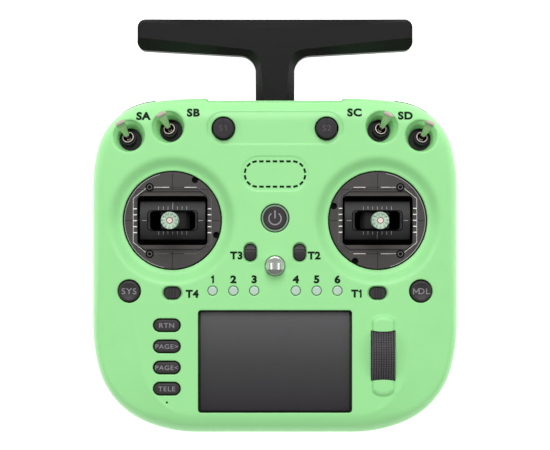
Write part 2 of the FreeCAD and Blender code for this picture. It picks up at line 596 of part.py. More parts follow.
# ---- toggle switches ------------------------------------------------------------------------------
def toggles():
    bodies, nuts, levers = [], [], {}
    for name, place in TOGGLES.items():
        rim, pivot, along, lever, level = toggle_frame(place)
        seat = rim - along * BUSHING_OUT
        base = seat - along * 4.4
        bushing = rod(BUSHING_R, base, rim)
        block = Part.makeBox(8.4, 8.4, 8.0, V(-4.2, -4.2, -8.0))
        block.rotate(V(0, 0, 0), Z_AXIS, math.degrees(math.atan2(level.y, level.x)))
        block.rotate(V(0, 0, 0), level, TOGGLE_TILT)
        block.translate(base)
        tail, tip = base - along * 7.9, base - along * 10.4
        pins = [rod(0.5, tail + level * k, tip + level * k) for k in (-2.4, 0, 2.4)]
        body = block.multiFuse([bushing] + pins)
        body = body.cut(rod(2.3, rim - along * 5.4, rim + along))
        bodies += both(body)
        nut = rod(3.9, seat + along * 0.03, seat + along * 1.3)
        nut = nut.cut(rod(BUSHING_R + 0.05, seat - along, rim + along))
        notch = Part.makeBox(10, 0.9, 3, V(-5, -0.45, 0.8))
        notch.rotate(V(0, 0, 0), Z_AXIS, math.degrees(math.atan2(level.y, level.x)))
        notch.rotate(V(0, 0, 0), level, TOGGLE_TILT)
        notch.translate(seat)
        nuts += both(nut.cut(notch))
        levers[name] = toggle_lever(pivot, lever, level)
    keep("toggle_bodies", *bodies)
    keep("toggle_nuts", *nuts)
    keep("toggle_lever_a", mirrored(levers["outer"]))
    keep("toggle_lever_b", mirrored(levers["inner"]))
    keep("toggle_lever_c", levers["inner"])
    keep("toggle_lever_d", levers["outer"])


def toggle_lever(pivot, lever, level):
    """Ball on its cross pin, waist and a flattened, flared end; built upright and then leaned over."""
    shaft = Part.makeCone(1.1, 2.5, LEVER_LENGTH, V(0, 0, 0), Z_AXIS)
    wedge = [Part.makePolygon([V(-3, -t, z), V(3, -t, z), V(3, t, z), V(-3, t, z), V(-3, -t, z)])
             for t, z in ((1.25, 0), (0.9, LEVER_LENGTH))]
    shaft = shaft.common(Part.makeLoft(wedge, True, True))
    shaft = fillet_at(shaft, 0.45, lambda c, e: c.z > LEVER_LENGTH - 0.01)
    made = shaft.multiFuse([Part.makeSphere(2.1), rod(0.6, V(-2.15, 0, 0), V(2.15, 0, 0))])
    made.rotate(V(0, 0, 0), Z_AXIS, math.degrees(math.atan2(level.y, level.x)))
    made.rotate(V(0, 0, 0), level, TOGGLE_TILT + TOGGLE_THROW / 2.0)
    made.translate(pivot)
    return made


# ---- keys, knobs, trims and roller --------------------------------------------------------------------
def key(cap, flange, x, y):
    """A cap with the flange that keeps it in, and a stem over its switch."""
    stem = cylinder(1.0, x, y, SWITCH_TOP + KEY_TRAVEL + 0.05, 43.0)
    return cap.fuse(flange).fuse(stem)


def keys():
    for word, side in (("sys", -1), ("mdl", 1)):
        x, y = side * ROUND_KEY_X, ROUND_KEY_Y
        cap = cylinder(ROUND_KEY_R, x, y, 43.0, KEY_TOP)
        cap = fillet_at(cap, 1.2, lambda c, e: abs(c.z - KEY_TOP) < 0.01)
        ball = Part.makeSphere(14.0, V(x, y, KEY_TOP + 13.3))
        keep("key_" + word, key(cap.cut(ball), cylinder(ROUND_KEY_R + 1.4, x, y, 42.6, 43.7), x, y))
    for word, (x, y) in zip(("rtn", "page_next", "page_back", "tele"), menu_keys()):
        cap = rounded(x, y, MENU_CAP[0], MENU_CAP[1], MENU_CAP[1] / 2.0, 43.0, KEY_TOP)
        cap = fillet_at(cap, 0.9, lambda c, e: abs(c.z - KEY_TOP) < 0.01)
        flange = rounded(x, y, MENU_CAP[0] + 2.6, MENU_CAP[1] + 2.6, 2.5, 42.6, 43.7)
        keep("key_" + word, key(cap, flange, x, y))
    for number, (x, y) in enumerate(sorted(function_keys()), 1):
        cap = cylinder(FUNCTION_R, x, y, 43.0, FRONT_Z + 0.3)
        cap = fillet_at(cap, 0.7, lambda c, e: abs(c.z - FRONT_Z - 0.3) < 0.01)
        keep(f"function_key_{number}", key(cap, cylinder(FUNCTION_R + 1.0, x, y, 42.6, 43.7), x, y))
    ring = cylinder(POWER_R + 1.2, 0, POWER_Y, 43.0, FRONT_Z).fuse(cylinder(8.2, 0, POWER_Y, 42.9, 43.9))
    keep("power_ring", ring.cut(cylinder(POWER_R + GAP, 0, POWER_Y, 40, 60)))
    cap = fillet_at(cylinder(POWER_R, 0, POWER_Y, 42.0, FRONT_Z - 0.3), 0.5, lambda c, e: c.z > 47)
    keep("power_button", key(cap, cylinder(POWER_R + 1.2, 0, POWER_Y, 41.6, 42.6), 0, POWER_Y))


def knobs():
    pots = []
    for side, word in ((-1, "left"), (1, "right")):
        x, y = side * KNOB_X, KNOB_Y
        cap = Part.makeCone(KNOB_R, KNOB_R - 0.3, 5.6, V(x, y, 45.6), Z_AXIS)
        cap = fillet_at(cap, 0.7, lambda c, e: c.z > 51)
        flutes = [rod(0.35, V(x + 5.5 * math.cos(a), y + 5.5 * math.sin(a), 46.4),
                      V(x + 5.2 * math.cos(a), y + 5.2 * math.sin(a), 50.4))
                  for a in (2 * math.pi * k / 24 for k in range(24))]
        line = box(x - 0.35, x + 0.35, y + 1.6, y + 6, 50.9, 52)
        cap = cut_all(cap, flutes + [line])
        keep("knob_" + word, cap.fuse(cylinder(2.0, x, y, 39.5, 46)))
        can = rounded(x, y, 11.0, 11.0, 1.0, BOARD_Z + BOARD_T + 0.05, 41.6)
        can = can.fuse(cylinder(3.4, x, y, 41, 44.5))
        pots.append(can.cut(cylinder(2.05, x, y, 39.0, 50)))
    keep("knob_pots", *pots)


def trims():
    for name, (x, y, way) in TRIMS.items():
        along, across = TRIM_CAP[0] - 0.5, TRIM_CAP[1]
        drum = rod(TRIM_TOP - TRIM_PIVOT_Z, V(0, -across / 2, TRIM_PIVOT_Z), V(0, across / 2, TRIM_PIVOT_Z))
        rocker = drum.common(rounded(0, 0, along, across, across / 2.0, TRIM_PIVOT_Z - 1.2, 60))
        ridges = []
        for k in (-1, 0, 1):
            a = math.radians(14 * k)
            r = TRIM_TOP - TRIM_PIVOT_Z + 0.05
            at = V(r * math.sin(a), 0, TRIM_PIVOT_Z + r * math.cos(a))
            ridges.append(rod(0.36, at - Y_AXIS * 4, at + Y_AXIS * 4))
        pin = rod(0.8, V(0, -across / 2 - 1.6, TRIM_PIVOT_Z), V(0, across / 2 + 1.6, TRIM_PIVOT_Z))
        feet = [cylinder(0.8, s * 2.7, 0, SWITCH_TOP + 0.3, TRIM_PIVOT_Z) for s in (-1, 1)]
        rocker = cut_all(rocker, ridges).multiFuse([pin] + feet)
        if way == "y":
            rocker.rotate(V(0, 0, 0), Z_AXIS, 90)
        rocker.translate(V(x, y, 0))
        keep(name, rocker)


def scroll_roller():
    half = ROLLER_W / 2.0
    left, right = V(ROLLER_X - half, ROLLER_Y, ROLLER_Z), V(ROLLER_X + half, ROLLER_Y, ROLLER_Z)
    wheel = rod(ROLLER_R, left, right)
    wheel = fillet_at(wheel, 0.8, lambda c, e: True)
    scallop = rod(RIB_GROOVE_R, left - X_AXIS, right + X_AXIS)
    cuts = [rod(1.55, left - X_AXIS, right + X_AXIS)]
    for offset in (-0.75, 0.75):
        start = V(ROLLER_X + offset - 0.15, ROLLER_Y, ROLLER_Z)
        ring = rod(ROLLER_R + 1.0, start, start + X_AXIS * 0.3)
        cuts.append(ring.cut(rod(ROLLER_R - 0.22, start - X_AXIS, start + X_AXIS)))
    for k in range(ROLLER_RIBS):
        a = 2 * math.pi * k / ROLLER_RIBS
        groove = scallop.copy()
        groove.translate(V(0, ROLLER_R * math.cos(a), ROLLER_R * math.sin(a)))
        cuts.append(groove)
    keep("scroll_roller", cut_all(wheel, cuts))
    outer = half + 1.9
    cheeks = [box(ROLLER_X + a, ROLLER_X + b, ROLLER_Y - 4, ROLLER_Y + 4, 15.3, 40.0)
              for a, b in ((-outer, -half - 0.6), (half + 0.6, outer))]
    base = box(ROLLER_X - outer, ROLLER_X + outer, ROLLER_Y - 4, ROLLER_Y + 4, 15.0, 16.6)
    pin = rod(1.5, V(ROLLER_X - outer, ROLLER_Y, ROLLER_Z), V(ROLLER_X + outer, ROLLER_Y, ROLLER_Z))
    keep("roller_carriage", base.multiFuse(cheeks + [pin]))


def shoulder_buttons():
    for word, side in (("left", -1), ("right", 1)):
        ring = Part.Face(outline(-0.7, 23.5)).extrude(V(0, 0, 9.0))
        ring = ring.cut(Part.Face(outline(7.0, 20)).extrude(V(0, 0, 20)))
        cap = ring.common(shoulder_window(0.0, 40.0))
        rim = Part.Face(outline(4.6, 22.9)).extrude(V(0, 0, 10.2))
        rim = rim.cut(Part.Face(outline(6.4, 20)).extrude(V(0, 0, 20)))
        cap = cap.fuse(rim.common(box(60.6, 80.4, 40, 90, 22.9, 33.1)))
        keep("shoulder_button_" + word, cap if side > 0 else mirrored(cap))


# ---- screen, boards and fittings --------------------------------------------------------------------
def screen():
    w, h = SCREEN_WINDOW
    keep("screen_lens", rounded(0, SCREEN_Y, w + 2.0, h + 2.0, 1.4, 44.5, 46.2))
    panel = rounded(0, SCREEN_Y, 85.0, 55.6, 1.0, 39.4, 42.0)
    raised = rounded(0, SCREEN_Y, 76.0, 50.5, 0.6, 41.9, 44.4)
    keep("lcd_panel", panel.fuse(raised))


def main_board():
    low, high = BOARD_Z, BOARD_Z + BOARD_T
    sheet = Part.Face(outline(7.5, low)).extrude(V(0, 0, BOARD_T))
    sheet = sheet.common(box(-200, 200, -200, 33, 0, 60).fuse(box(-36, 36, -200, 50, 0, 60)))
    spots = [(side * ROUND_KEY_X, ROUND_KEY_Y) for side in (-1, 1)] + [(0, POWER_Y)]
    spots += menu_keys() + function_keys()
    for x, y, way in TRIMS.values():
        spots += [(x + s * 2.7, y) if way == "x" else (x, y + s * 2.7) for s in (-1, 1)]
    switches = [box(x - 2.2, x + 2.2, y - 2.2, y + 2.2, high - 0.2, high + 2.9).fuse(
        cylinder(1.2, x, y, high, SWITCH_TOP)) for x, y in spots]
    chips = [box(-9, 9, 10, 24, high - 0.2, high + 1.4), box(-30, -22, -20, -10, high - 0.2, high + 1.6),
             box(22, 27, -22, -12, high - 0.2, high + 1.2), box(-8, 8, -92, -86, low - 3.4, low + 0.2)]
    board = sheet.multiFuse(switches + chips)
    cuts = [box(ROLLER_X - 9, ROLLER_X + 9, ROLLER_Y - 19.5, ROLLER_Y + 19.5, 20, 50)]
    for side in (-1, 1):
        cuts.append(cylinder(25.6, side * GIMBAL_X, GIMBAL_Y, 20, 50))
        cuts += [cylinder(3.7, side * x, y, 20, 50) for x, y in SCREWS]
    keep("main_board", cut_all(board, cuts))


def fittings():
    block = box(-12, 12, 8, 34, 25.0, BOARD_Z - 0.05)
    keep("rf_module", fillet_at(block, 0.8, lambda c, e: c.z < 25.01))
    x, y, r = SPEAKER
    cone = cylinder(r, x, y, 12.5, 14.4).fuse(cylinder(r - 2.6, x, y, 14.0, 18.0))
    keep("speaker", cone.cut(Part.makeSphere(9.0, V(x, y, 5.6))))
    stud = cylinder(2.5, 0, LANYARD_Y, 40.4, 47.0)
    base = fillet_at(cylinder(LANYARD_R, 0, LANYARD_Y, 46.5, 49.6), 0.8, lambda c, e: c.z > 49)
    back, front = LANYARD_Y - TAB_T / 2, LANYARD_Y + TAB_T / 2
    tab = rod(TAB_R, V(0, back, EYE_Z), V(0, front, EYE_Z)).fuse(box(-TAB_R, TAB_R, back, front, 48, EYE_Z))
    nut = cylinder(4.2, 0, LANYARD_Y, 41.2, SHELL_INNER - 0.2)
    post = base.multiFuse([stud, tab, nut])
    keep("lanyard_post", post.cut(rod(EYE_R, V(0, LANYARD_Y - 5, EYE_Z), V(0, LANYARD_Y + 5, EYE_Z))))
    jack = rod(3.0, V(JACK_X, 58, PORT_Z), V(JACK_X, 64.3, PORT_Z))
    jack = jack.fuse(box(JACK_X - 3.6, JACK_X + 3.6, 50.5, 61.5, PORT_Z - 3.4, PORT_Z + 3.4).common(
        body_form(SLEEVE + FIT + WALL + 0.1)))
    jack = jack.cut(rod(1.8, V(JACK_X, 51.5, PORT_Z), V(JACK_X, 70, PORT_Z)))
    plug = box(USB_X - 4.6, USB_X + 4.6, 53, 64.2, PORT_Z - 1.7, PORT_Z + 1.7)
    plug = fillet_at(plug, 1.5, lambda c, e: e.Length > 10)
    plug = plug.cut(box(USB_X - 4.2, USB_X + 4.2, 56, 70, PORT_Z - 1.3, PORT_Z + 1.3))
    tongue = box(USB_X - 3.3, USB_X + 3.3, 55.9, 62.5, PORT_Z - 0.35, PORT_Z + 0.35)
    keep("io_sockets", jack, plug.fuse(tongue))


# ---- antenna ------------------------------------------------------------------------------------------
def antenna():
    half, stem = 72.4, 10.2
    top, low_end, low_mid = ANTENNA_TOP, 92.2, 88.7
    z0, z1 = BLADE_BACK, BLADE_FRONT
    profile = [V(-stem, HINGE_Y, z0), V(stem, HINGE_Y, z0), V(stem, low_mid, z0), V(half, low_end, z0),
               V(half, top, z0), V(-half, top, z0), V(-half, low_end, z0), V(-stem, low_mid, z0)]
    blade = Part.Face(Part.makePolygon(profile + profile[:1])).extrude(V(0, 0, z1 - z0))

    def upright(e):
        return e.BoundBox.ZLength > z1 - z0 - 0.01
    blade = fillet_at(blade, 4.3, lambda c, e: upright(e) and abs(c.x) > half - 1)
    blade = fillet_at(blade, ANTENNA_FILLET,
                      lambda c, e: upright(e) and abs(abs(c.x) - stem) < 0.1 and c.y > 80)
    blade = fillet_at(blade, 1.5, lambda c, e: abs(c.z - z1) < 0.01 and abs(c.x) > half - 4.2)
    blade = cut_all(blade, antenna_facets())
    knuckle = rod(KNUCKLE_R, V(-stem, HINGE_Y, HINGE_Z), V(stem, HINGE_Y, HINGE_Z))
    blade = blade.fuse(knuckle).cut(rod(PIN_R + 0.05, V(-20, HINGE_Y, HINGE_Z), V(20, HINGE_Y, HINGE_Z)))
    keep("antenna_blade", blade)
    pin = rod(PIN_R, V(-12.2, HINGE_Y, HINGE_Z), V(12.2, HINGE_Y, HINGE_Z))
    keep("antenna_hinge_pin", pin)


def bent_wire(x_far, y_far, corner, x_low, y_low, z):
    """Closed wire under one arm: along the arm, round the fillet, down the stem, and back outside."""
    far, meet, low = V(x_far, y_far, z), V(corner[0], corner[1], z), V(x_low, y_low, z)
    to_far, to_low = (far - meet).normalize(), (low - meet).normalize()
    half = to_far.getAngle(to_low) / 2.0
    run = ANTENNA_FILLET / math.tan(half)
    start, end = meet + to_far * run, meet + to_low * run
    centre = meet + (to_far + to_low).normalize() * (ANTENNA_FILLET / math.sin(half))
    middle = centre + (meet - centre).normalize() * ANTENNA_FILLET
    outside = V(x_far, y_low, z)
    return Part.Wire([Part.LineSegment(far, start).toShape(), Part.Arc(start, middle, end).toShape(),
                      Part.LineSegment(end, low).toShape(), Part.LineSegment(low, outside).toShape(),
                      Part.LineSegment(outside, far).toShape()])


def sagging_wire(edge_y, middle_y, z):
    """Closed wire above the bar whose lower side sags towards the middle."""
    left, right, top = V(-80, edge_y, z), V(80, edge_y, z), ANTENNA_TOP + 20
    return Part.Wire([Part.Arc(left, V(0, middle_y, z), right).toShape(),
                      Part.LineSegment(right, V(80, top, z)).toShape(),
                      Part.LineSegment(V(80, top, z), V(-80, top, z)).toShape(),
                      Part.LineSegment(V(-80, top, z), left).toShape()])


def antenna_facets():
    """Wedges that slope the bar's top and underside and the stem's sides away from the flat front."""
    high, low = BLADE_FRONT + 0.01, BLADE_FRONT - 4.0
    top = [sagging_wire(ANTENNA_TOP, ANTENNA_TOP - 4.6, high),
           sagging_wire(ANTENNA_TOP + 1.6, ANTENNA_TOP + 0.1, low + 1.5)]
    under = [bent_wire(80.0, 99.4, (8.0, 91.6), 5.0, 56.0, high),
             bent_wire(80.0, 92.6, (10.2, 88.7), 10.25, 56.0, low)]
    return [Part.makeLoft(top, True, True)] + both(Part.makeLoft(under, True, True))


os.makedirs("parts", exist_ok=True)
silicone_sleeve()
front_shell()
rear_shell()
doors()
battery_pack()
rear_grips()
shell_screws()
gimbals()
toggles()
keys()
knobs()
trims()
scroll_roller()
shoulder_buttons()
screen()
main_board()
fittings()
antenna()
print(len(PARTS), "pieces")
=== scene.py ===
"""Looks for the handheld radio transmitter: soft sleeve, legends, dial marks, materials, light and camera."""

import math

import bmesh
import bpy
import numpy as np
from mathutils import Matrix, Vector, geometry
from mathutils.bvhtree import BVHTree


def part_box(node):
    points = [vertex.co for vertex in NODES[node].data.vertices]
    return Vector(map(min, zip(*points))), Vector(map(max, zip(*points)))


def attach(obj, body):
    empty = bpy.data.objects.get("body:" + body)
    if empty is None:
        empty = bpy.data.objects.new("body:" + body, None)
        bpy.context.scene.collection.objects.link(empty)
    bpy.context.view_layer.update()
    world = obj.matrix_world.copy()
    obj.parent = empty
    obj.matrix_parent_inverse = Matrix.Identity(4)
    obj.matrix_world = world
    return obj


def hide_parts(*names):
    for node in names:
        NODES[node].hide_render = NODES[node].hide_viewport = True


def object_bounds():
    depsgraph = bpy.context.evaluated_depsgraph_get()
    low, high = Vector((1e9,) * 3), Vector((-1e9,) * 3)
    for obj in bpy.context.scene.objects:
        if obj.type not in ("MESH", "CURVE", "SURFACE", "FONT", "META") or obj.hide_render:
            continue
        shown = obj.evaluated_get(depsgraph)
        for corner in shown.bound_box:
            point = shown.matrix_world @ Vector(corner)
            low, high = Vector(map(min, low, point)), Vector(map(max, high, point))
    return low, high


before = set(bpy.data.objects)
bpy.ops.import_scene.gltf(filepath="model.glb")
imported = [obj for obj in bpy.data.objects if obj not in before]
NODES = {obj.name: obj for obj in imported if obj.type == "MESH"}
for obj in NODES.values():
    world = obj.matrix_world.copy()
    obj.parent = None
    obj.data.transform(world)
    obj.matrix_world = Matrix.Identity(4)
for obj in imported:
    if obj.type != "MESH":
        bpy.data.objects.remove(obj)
CAD_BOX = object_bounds()
MM = 0.001


def box_mm(node):
    low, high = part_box(node)
    return np.array(low) / MM, np.array(high) / MM


def middle(node):
    low, high = box_mm(node)
    return (low + high) / 2.0


# ---- driving dimensions, in millimetres, taken from the frame where it has them ----
SLEEVE_LOW, SLEEVE_HIGH = box_mm("silicone_sleeve")
FRONT_Z, BACK_Z = 48.0, SLEEVE_LOW[2]
HALF_WIDTH, TOP_Y, BOTTOM_Y = SLEEVE_HIGH[0], SLEEVE_HIGH[1], SLEEVE_LOW[1]
TOP_CORNER = ((80.0, 14.5), (32.1, 67.7), (227.0, 7.8))  # radius, degrees, from side to end
BOTTOM_CORNER = ((90.8, 14.3), (41.9, 52.2), (67.1, 23.5))
FRONT_ROUND, BACK_ROUND = 12.0, 8.0
SKIN = 1.3  # thickness shown for the silicone
LIP = 9.0
CUT_HALF, CUT_Z = 35.0, 42.0  # port cut-out in the top wall
RIM_INSET = FRONT_ROUND * (1 - math.cos(math.asin((CUT_Z - (FRONT_Z - FRONT_ROUND)) / FRONT_ROUND)))
GIMBALS = [middle("gimbal_bezel_left")[:2], middle("gimbal_bezel_right")[:2]]
GIMBAL_HOLE, DISH_DEPTH, DISH_OUTER, DISH_INNER = 25.4, 3.6, 33.4, 26.2
WELLS = [((74.6, 45.5), (74.1, 43.8)), ((54.4, 50.0), (53.2, 48.4))]
WELL_MOUTH_R, WELL_FLOOR_R, WELL_FLOOR_Z = 8.0, 5.7, 40.0
WELL_DEPTH = FRONT_Z - WELL_FLOOR_Z
BARREL_R = 17.0
CREASE_X, CREASE_Y, CREASE_LEAN = 67.5, -77.0, math.radians(10.2)
CREASE_LEVEL, CREASE_R, FACET_FALL = -99.2, 25.0, math.radians(12.0)
CREASE_SOFT, CREASE_SWELL = 0.12, 0.24  # softness of the crease, bead beside it
ROLLER_X, ROLLER_Y = middle("scroll_roller")[:2]
FAIRING_W, FAIRING_LENGTH, FAIRING_RISE, TIP_RADIUS = 11.2, 41.9, 1.5, 7.5
ROLLER_BOW, ROLLER_PITCH = 0.6, 1.25  # bow of the opening's ends, width of a block
TRIM_INNER, TRIM_OUTER, TRIM_DEPTH = (8.9, 6.0), (11.2, 7.7), 1.7
SHOULDER_LOW, SHOULDER_HIGH = (60.9, 22.0), (80.2, 33.5)  # corners of a shoulder opening, x and z
TOGGLE_LEAN = (0.45, 0.89)  # direction across the front
BUSHINGS = {"outer": (75.3, 45.0), "inner": (54.2, 49.3)}
BUSHING_Z, BUSHING_TILT, LEVER_TILT = 42.5, 24.0, 38.0
RIM_R, RIM_TUBE = 2.72, 0.17
LEVER_END, LEVER_LIFT = 0.6, 0.04  # depth of a lever's end face, height of the painted reflection over it
KNURL_R, KNURL_TEETH, KNURL_LIFT = 3.6, 24, -0.056  # teeth stand just clear of the stick ends
PRINT, CAPITAL_SHARE = 0.12, 0.7  # thickness of marks, capitals in a text size
WELL_SHADE_SLOT = 1  # material slot of the toggle wells' walls, painted darker and greener as shade inside them


# ---- plan shapes: signed distance outside a stadium or rounded rectangle ----
class Rounded:
    """Rounded rectangle in plan; a corner radius of half its short side makes a stadium or circle."""

    def __init__(self, x, y, w, h, r):
        self.x, self.y, self.w, self.h, self.r = x, y, w, h, min(r, w / 2, h / 2)

    def distance(self, px, py):
        qx = np.abs(px - self.x) - (self.w / 2 - self.r)
        qy = np.abs(py - self.y) - (self.h / 2 - self.r)
        outside = np.hypot(np.maximum(qx, 0), np.maximum(qy, 0))
        return outside + np.minimum(np.maximum(qx, qy), 0) - self.r

    def grown(self, d):
        return Rounded(self.x, self.y, self.w + 2 * d, self.h + 2 * d, max(self.r + d, 0.05))

    def loop(self, step):
        """Points round the shape, anticlockwise, about step apart."""
        points = []
        ax, ay = self.w / 2 - self.r, self.h / 2 - self.r
        turns = max(3, int(math.ceil(math.pi / 2 * self.r / step)))
        for k, (cx, cy) in enumerate(((ax, ay), (-ax, ay), (-ax, -ay), (ax, -ay))):
            for i in range(turns + 1):
                a = math.pi / 2 * (k + i / turns)
                points.append((self.x + cx + self.r * math.cos(a), self.y + cy + self.r * math.sin(a)))
            run = 2 * (ax if k % 2 == 0 else ay)
            here = np.array(points[-1])
            way = np.array(((-1, 0), (0, -1), (1, 0), (0, 1))[k])
            pieces = int(math.ceil(run / step))
            points += [tuple(here + way * run * i / pieces) for i in range(1, pieces)]
        kept = []
        for p in points:
            if not kept or math.dist(p, kept[-1]) > 1e-3:
                kept.append(p)
        return kept[:-1] if math.dist(kept[0], kept[-1]) < 1e-3 else kept


def circle(x, y, r):
    return Rounded(x, y, 2 * r, 2 * r, r)


class Bowed(Rounded):
    """Opening over the roller: its ends bow inwards where the run around it is highest."""

    def reach(self, px):
        share = np.clip(1 - (np.abs(px - self.x) / (FAIRING_W / 2)) ** 2, 0, 1)
        return self.h / 2 - ROLLER_BOW * share

    def distance(self, px, py):
        return np.maximum(np.abs(px - self.x) - self.w / 2, np.abs(py - self.y) - self.reach(px))

    def grown(self, d):
        return Bowed(self.x, self.y, self.w + 2 * d, self.h + 2 * d, self.r)

    def loop(self, step):
        xs = self.x + np.linspace(self.w / 2, -self.w / 2, int(self.w / step) + 1)
        reach = self.reach(xs)
        points = list(zip(xs, self.y + reach))
        ys = np.linspace(reach[-1], -reach[-1], int(self.h / step) + 1)[1:-1]
        points += [(self.x - self.w / 2, self.y + y) for y in ys]
        points += list(zip(xs[::-1], self.y - reach[::-1]))
        return points + [(self.x + self.w / 2, self.y - y) for y in ys]


MENU_KEYS = ["key_rtn", "key_page_next", "key_page_back", "key_tele"]
TRIMS = {"trim_t1": "x", "trim_t2": "y", "trim_t3": "y", "trim_t4": "x"}
ROUND_HOLES = [(n, 6.05) for n in ("knob_left", "knob_right")] + [(n, 6.0) for n in ("key_sys", "key_mdl")]
ROUND_HOLES += [(f"function_key_{k}", 2.55) for k in range(1, 7)]
ROUND_HOLES += [("power_button", 7.3), ("lanyard_post", 5.2)]
SCREEN = Rounded(*middle("screen_lens")[:2], 78.5, 52.3, 1.6)
LEGEND_STADIUM = Rounded(0, 49.5, 69.4, 16.6, 8.3)
PLATE_STADIUM = Rounded(0, 26.2, 34.0, 17.7, 8.85)
FAIRING = Rounded(ROLLER_X, ROLLER_Y, FAIRING_W, FAIRING_LENGTH, FAIRING_W / 2)
ROLLER_HOLE = Bowed(ROLLER_X, ROLLER_Y, 12.6, 25.7, 0.4)


def trim_shapes(node):
    x, y, _ = middle(node)
    inner, outer = TRIM_INNER, TRIM_OUTER
    if TRIMS[node] == "y":
        inner, outer = inner[::-1], outer[::-1]
    return Rounded(x, y, *inner, 4.6), Rounded(x, y, *outer, 6.0)


PLAIN_HOLES = [circle(*middle(node)[:2], r) for node, r in ROUND_HOLES]
PLAIN_HOLES += [Rounded(*middle(node)[:2], 14.2, 7.0, 3.5) for node in MENU_KEYS]
PLAIN_HOLES += [circle(middle("key_tele")[0], -90.5, 0.5)]
TRIM_HOLES = [trim_shapes(node) for node in TRIMS]
WELL_MOUTHS = [circle(side * m[0], m[1], WELL_MOUTH_R) for m, _ in WELLS for side in (-1, 1)]
WELL_FLOORS = [circle(side * f[0], f[1], WELL_FLOOR_R) for _, f in WELLS for side in (-1, 1)]
GIMBAL_HOLES = [circle(x, y, GIMBAL_HOLE) for x, y in GIMBALS]
HOLES = PLAIN_HOLES + WELL_MOUTHS + GIMBAL_HOLES + [SCREEN, ROLLER_HOLE] + [s for s, _ in TRIM_HOLES]
ROLLED_EDGES = [(s, 0.45) for s in PLAIN_HOLES] + [(s, 1.1) for s in WELL_MOUTHS]
ROLLED_EDGES += [(s, 0.35) for s in GIMBAL_HOLES] + [(SCREEN, 0.4)] + [(s, 0.3) for s, _ in TRIM_HOLES]


# ---- outline of the body ----
def arc_run(at, heading, arcs, step):
    """Points and outward normals along a chain of left-turning arcs, without the first point."""
    found = []
    for radius, degrees in arcs:
        turn = math.radians(degrees)
        centre = at + radius * np.array((-math.sin(heading), math.cos(heading)))
        count = max(2, int(round(radius * turn / step)))
        for i in range(1, count + 1):
            a = heading + turn * i / count
            out = np.array((math.sin(a), -math.cos(a)))
            found.append((centre + radius * out, out))
        heading, at = heading + turn, found[-1][0]
    return found


def straight(a, b, out, step):
    count = max(1, int(round(np.linalg.norm(b - a) / step)))
    return [(a + (b - a) * i / count, out) for i in range(1, count + 1)]


def body_outline(step):
    """Points and outward normals once round the sleeve, anticlockwise from the bottom middle."""
    down, out, up = np.array((0.0, -1.0)), np.array((1.0, 0.0)), np.array((0.0, 1.0))
    size = arc_run(np.zeros(2), math.pi / 2, BOTTOM_CORNER, step)[-1][0]
    flat = np.array((HALF_WIDTH + size[0], BOTTOM_Y))
    run = straight(np.array((0.0, BOTTOM_Y)), flat, down, step)
    run += arc_run(flat, 0.0, BOTTOM_CORNER[::-1], step)
    size = arc_run(np.zeros(2), math.pi / 2, TOP_CORNER, step)[-1][0]
    side_top = np.array((HALF_WIDTH, TOP_Y - size[1]))
    run += straight(run[-1][0], side_top, out, step)
    run += arc_run(side_top, math.pi / 2, TOP_CORNER, step)
    if run[-1][0][0] > CUT_HALF:
        run += straight(run[-1][0], np.array((CUT_HALF, TOP_Y)), up, step)
    run += straight(run[-1][0], np.array((0.0, TOP_Y)), up, step)
    left = [(p * (-1, 1), n * (-1, 1)) for p, n in run[-2::-1]]
    left.append((np.array((0.0, BOTTOM_Y)), down))
    whole = run + left
    return np.array([p for p, _ in whole]), np.array([n for _, n in whole])


OUTLINE, NORMALS = body_outline(1.25)


def inset_of(px, py):
    """Distance inside the outline of each point."""
    found = np.empty(len(px))
    for start in range(0, len(px), 4000):
        x, y = px[start:start + 4000, None], py[start:start + 4000, None]
        nearest = np.argmin((x - OUTLINE[:, 0]) ** 2 + (y - OUTLINE[:, 1]) ** 2, axis=1)
        gap = OUTLINE[nearest] - np.stack((x[:, 0], y[:, 0]), axis=1)
        found[start:start + 4000] = np.sum(gap * NORMALS[nearest], axis=1)
    return found


# ---- height of the sleeve's front ----
def smooth_step(t):
    t = np.clip(t, 0, 1)
    return t * t * (3 - 2 * t)


def fairing_rise(px, py):
    """Height of the low run above and below the scroll roller: tight at its sides, long at its ends."""
    half = FAIRING_W / 2
    across = np.abs(px - ROLLER_X)
    tip = FAIRING_LENGTH / 2 - TIP_RADIUS + np.sqrt(TIP_RADIUS ** 2 - np.minimum(across, half) ** 2)
    side = np.clip((half - across) / 1.2, 0, 1)
    end = np.clip((tip - np.abs(py - ROLLER_Y)) / 3.0, 0, 1)
    return FAIRING_RISE * np.sqrt(1 - (1 - side) ** 2) * (1 - (1 - end) ** 2)


def crease_distance(px, py):
    """Distance outside the line where the palm facets start to fall away."""
    side = (np.abs(px) - CREASE_X) * math.cos(CREASE_LEAN) - (py - CREASE_Y) * math.sin(CREASE_LEAN)
    end = CREASE_LEVEL - py
    a, b = side + CREASE_R, end + CREASE_R
    corner = np.hypot(np.maximum(a, 0), np.maximum(b, 0)) - CREASE_R
    return np.where((a > 0) & (b > 0), corner, np.maximum(side, end))


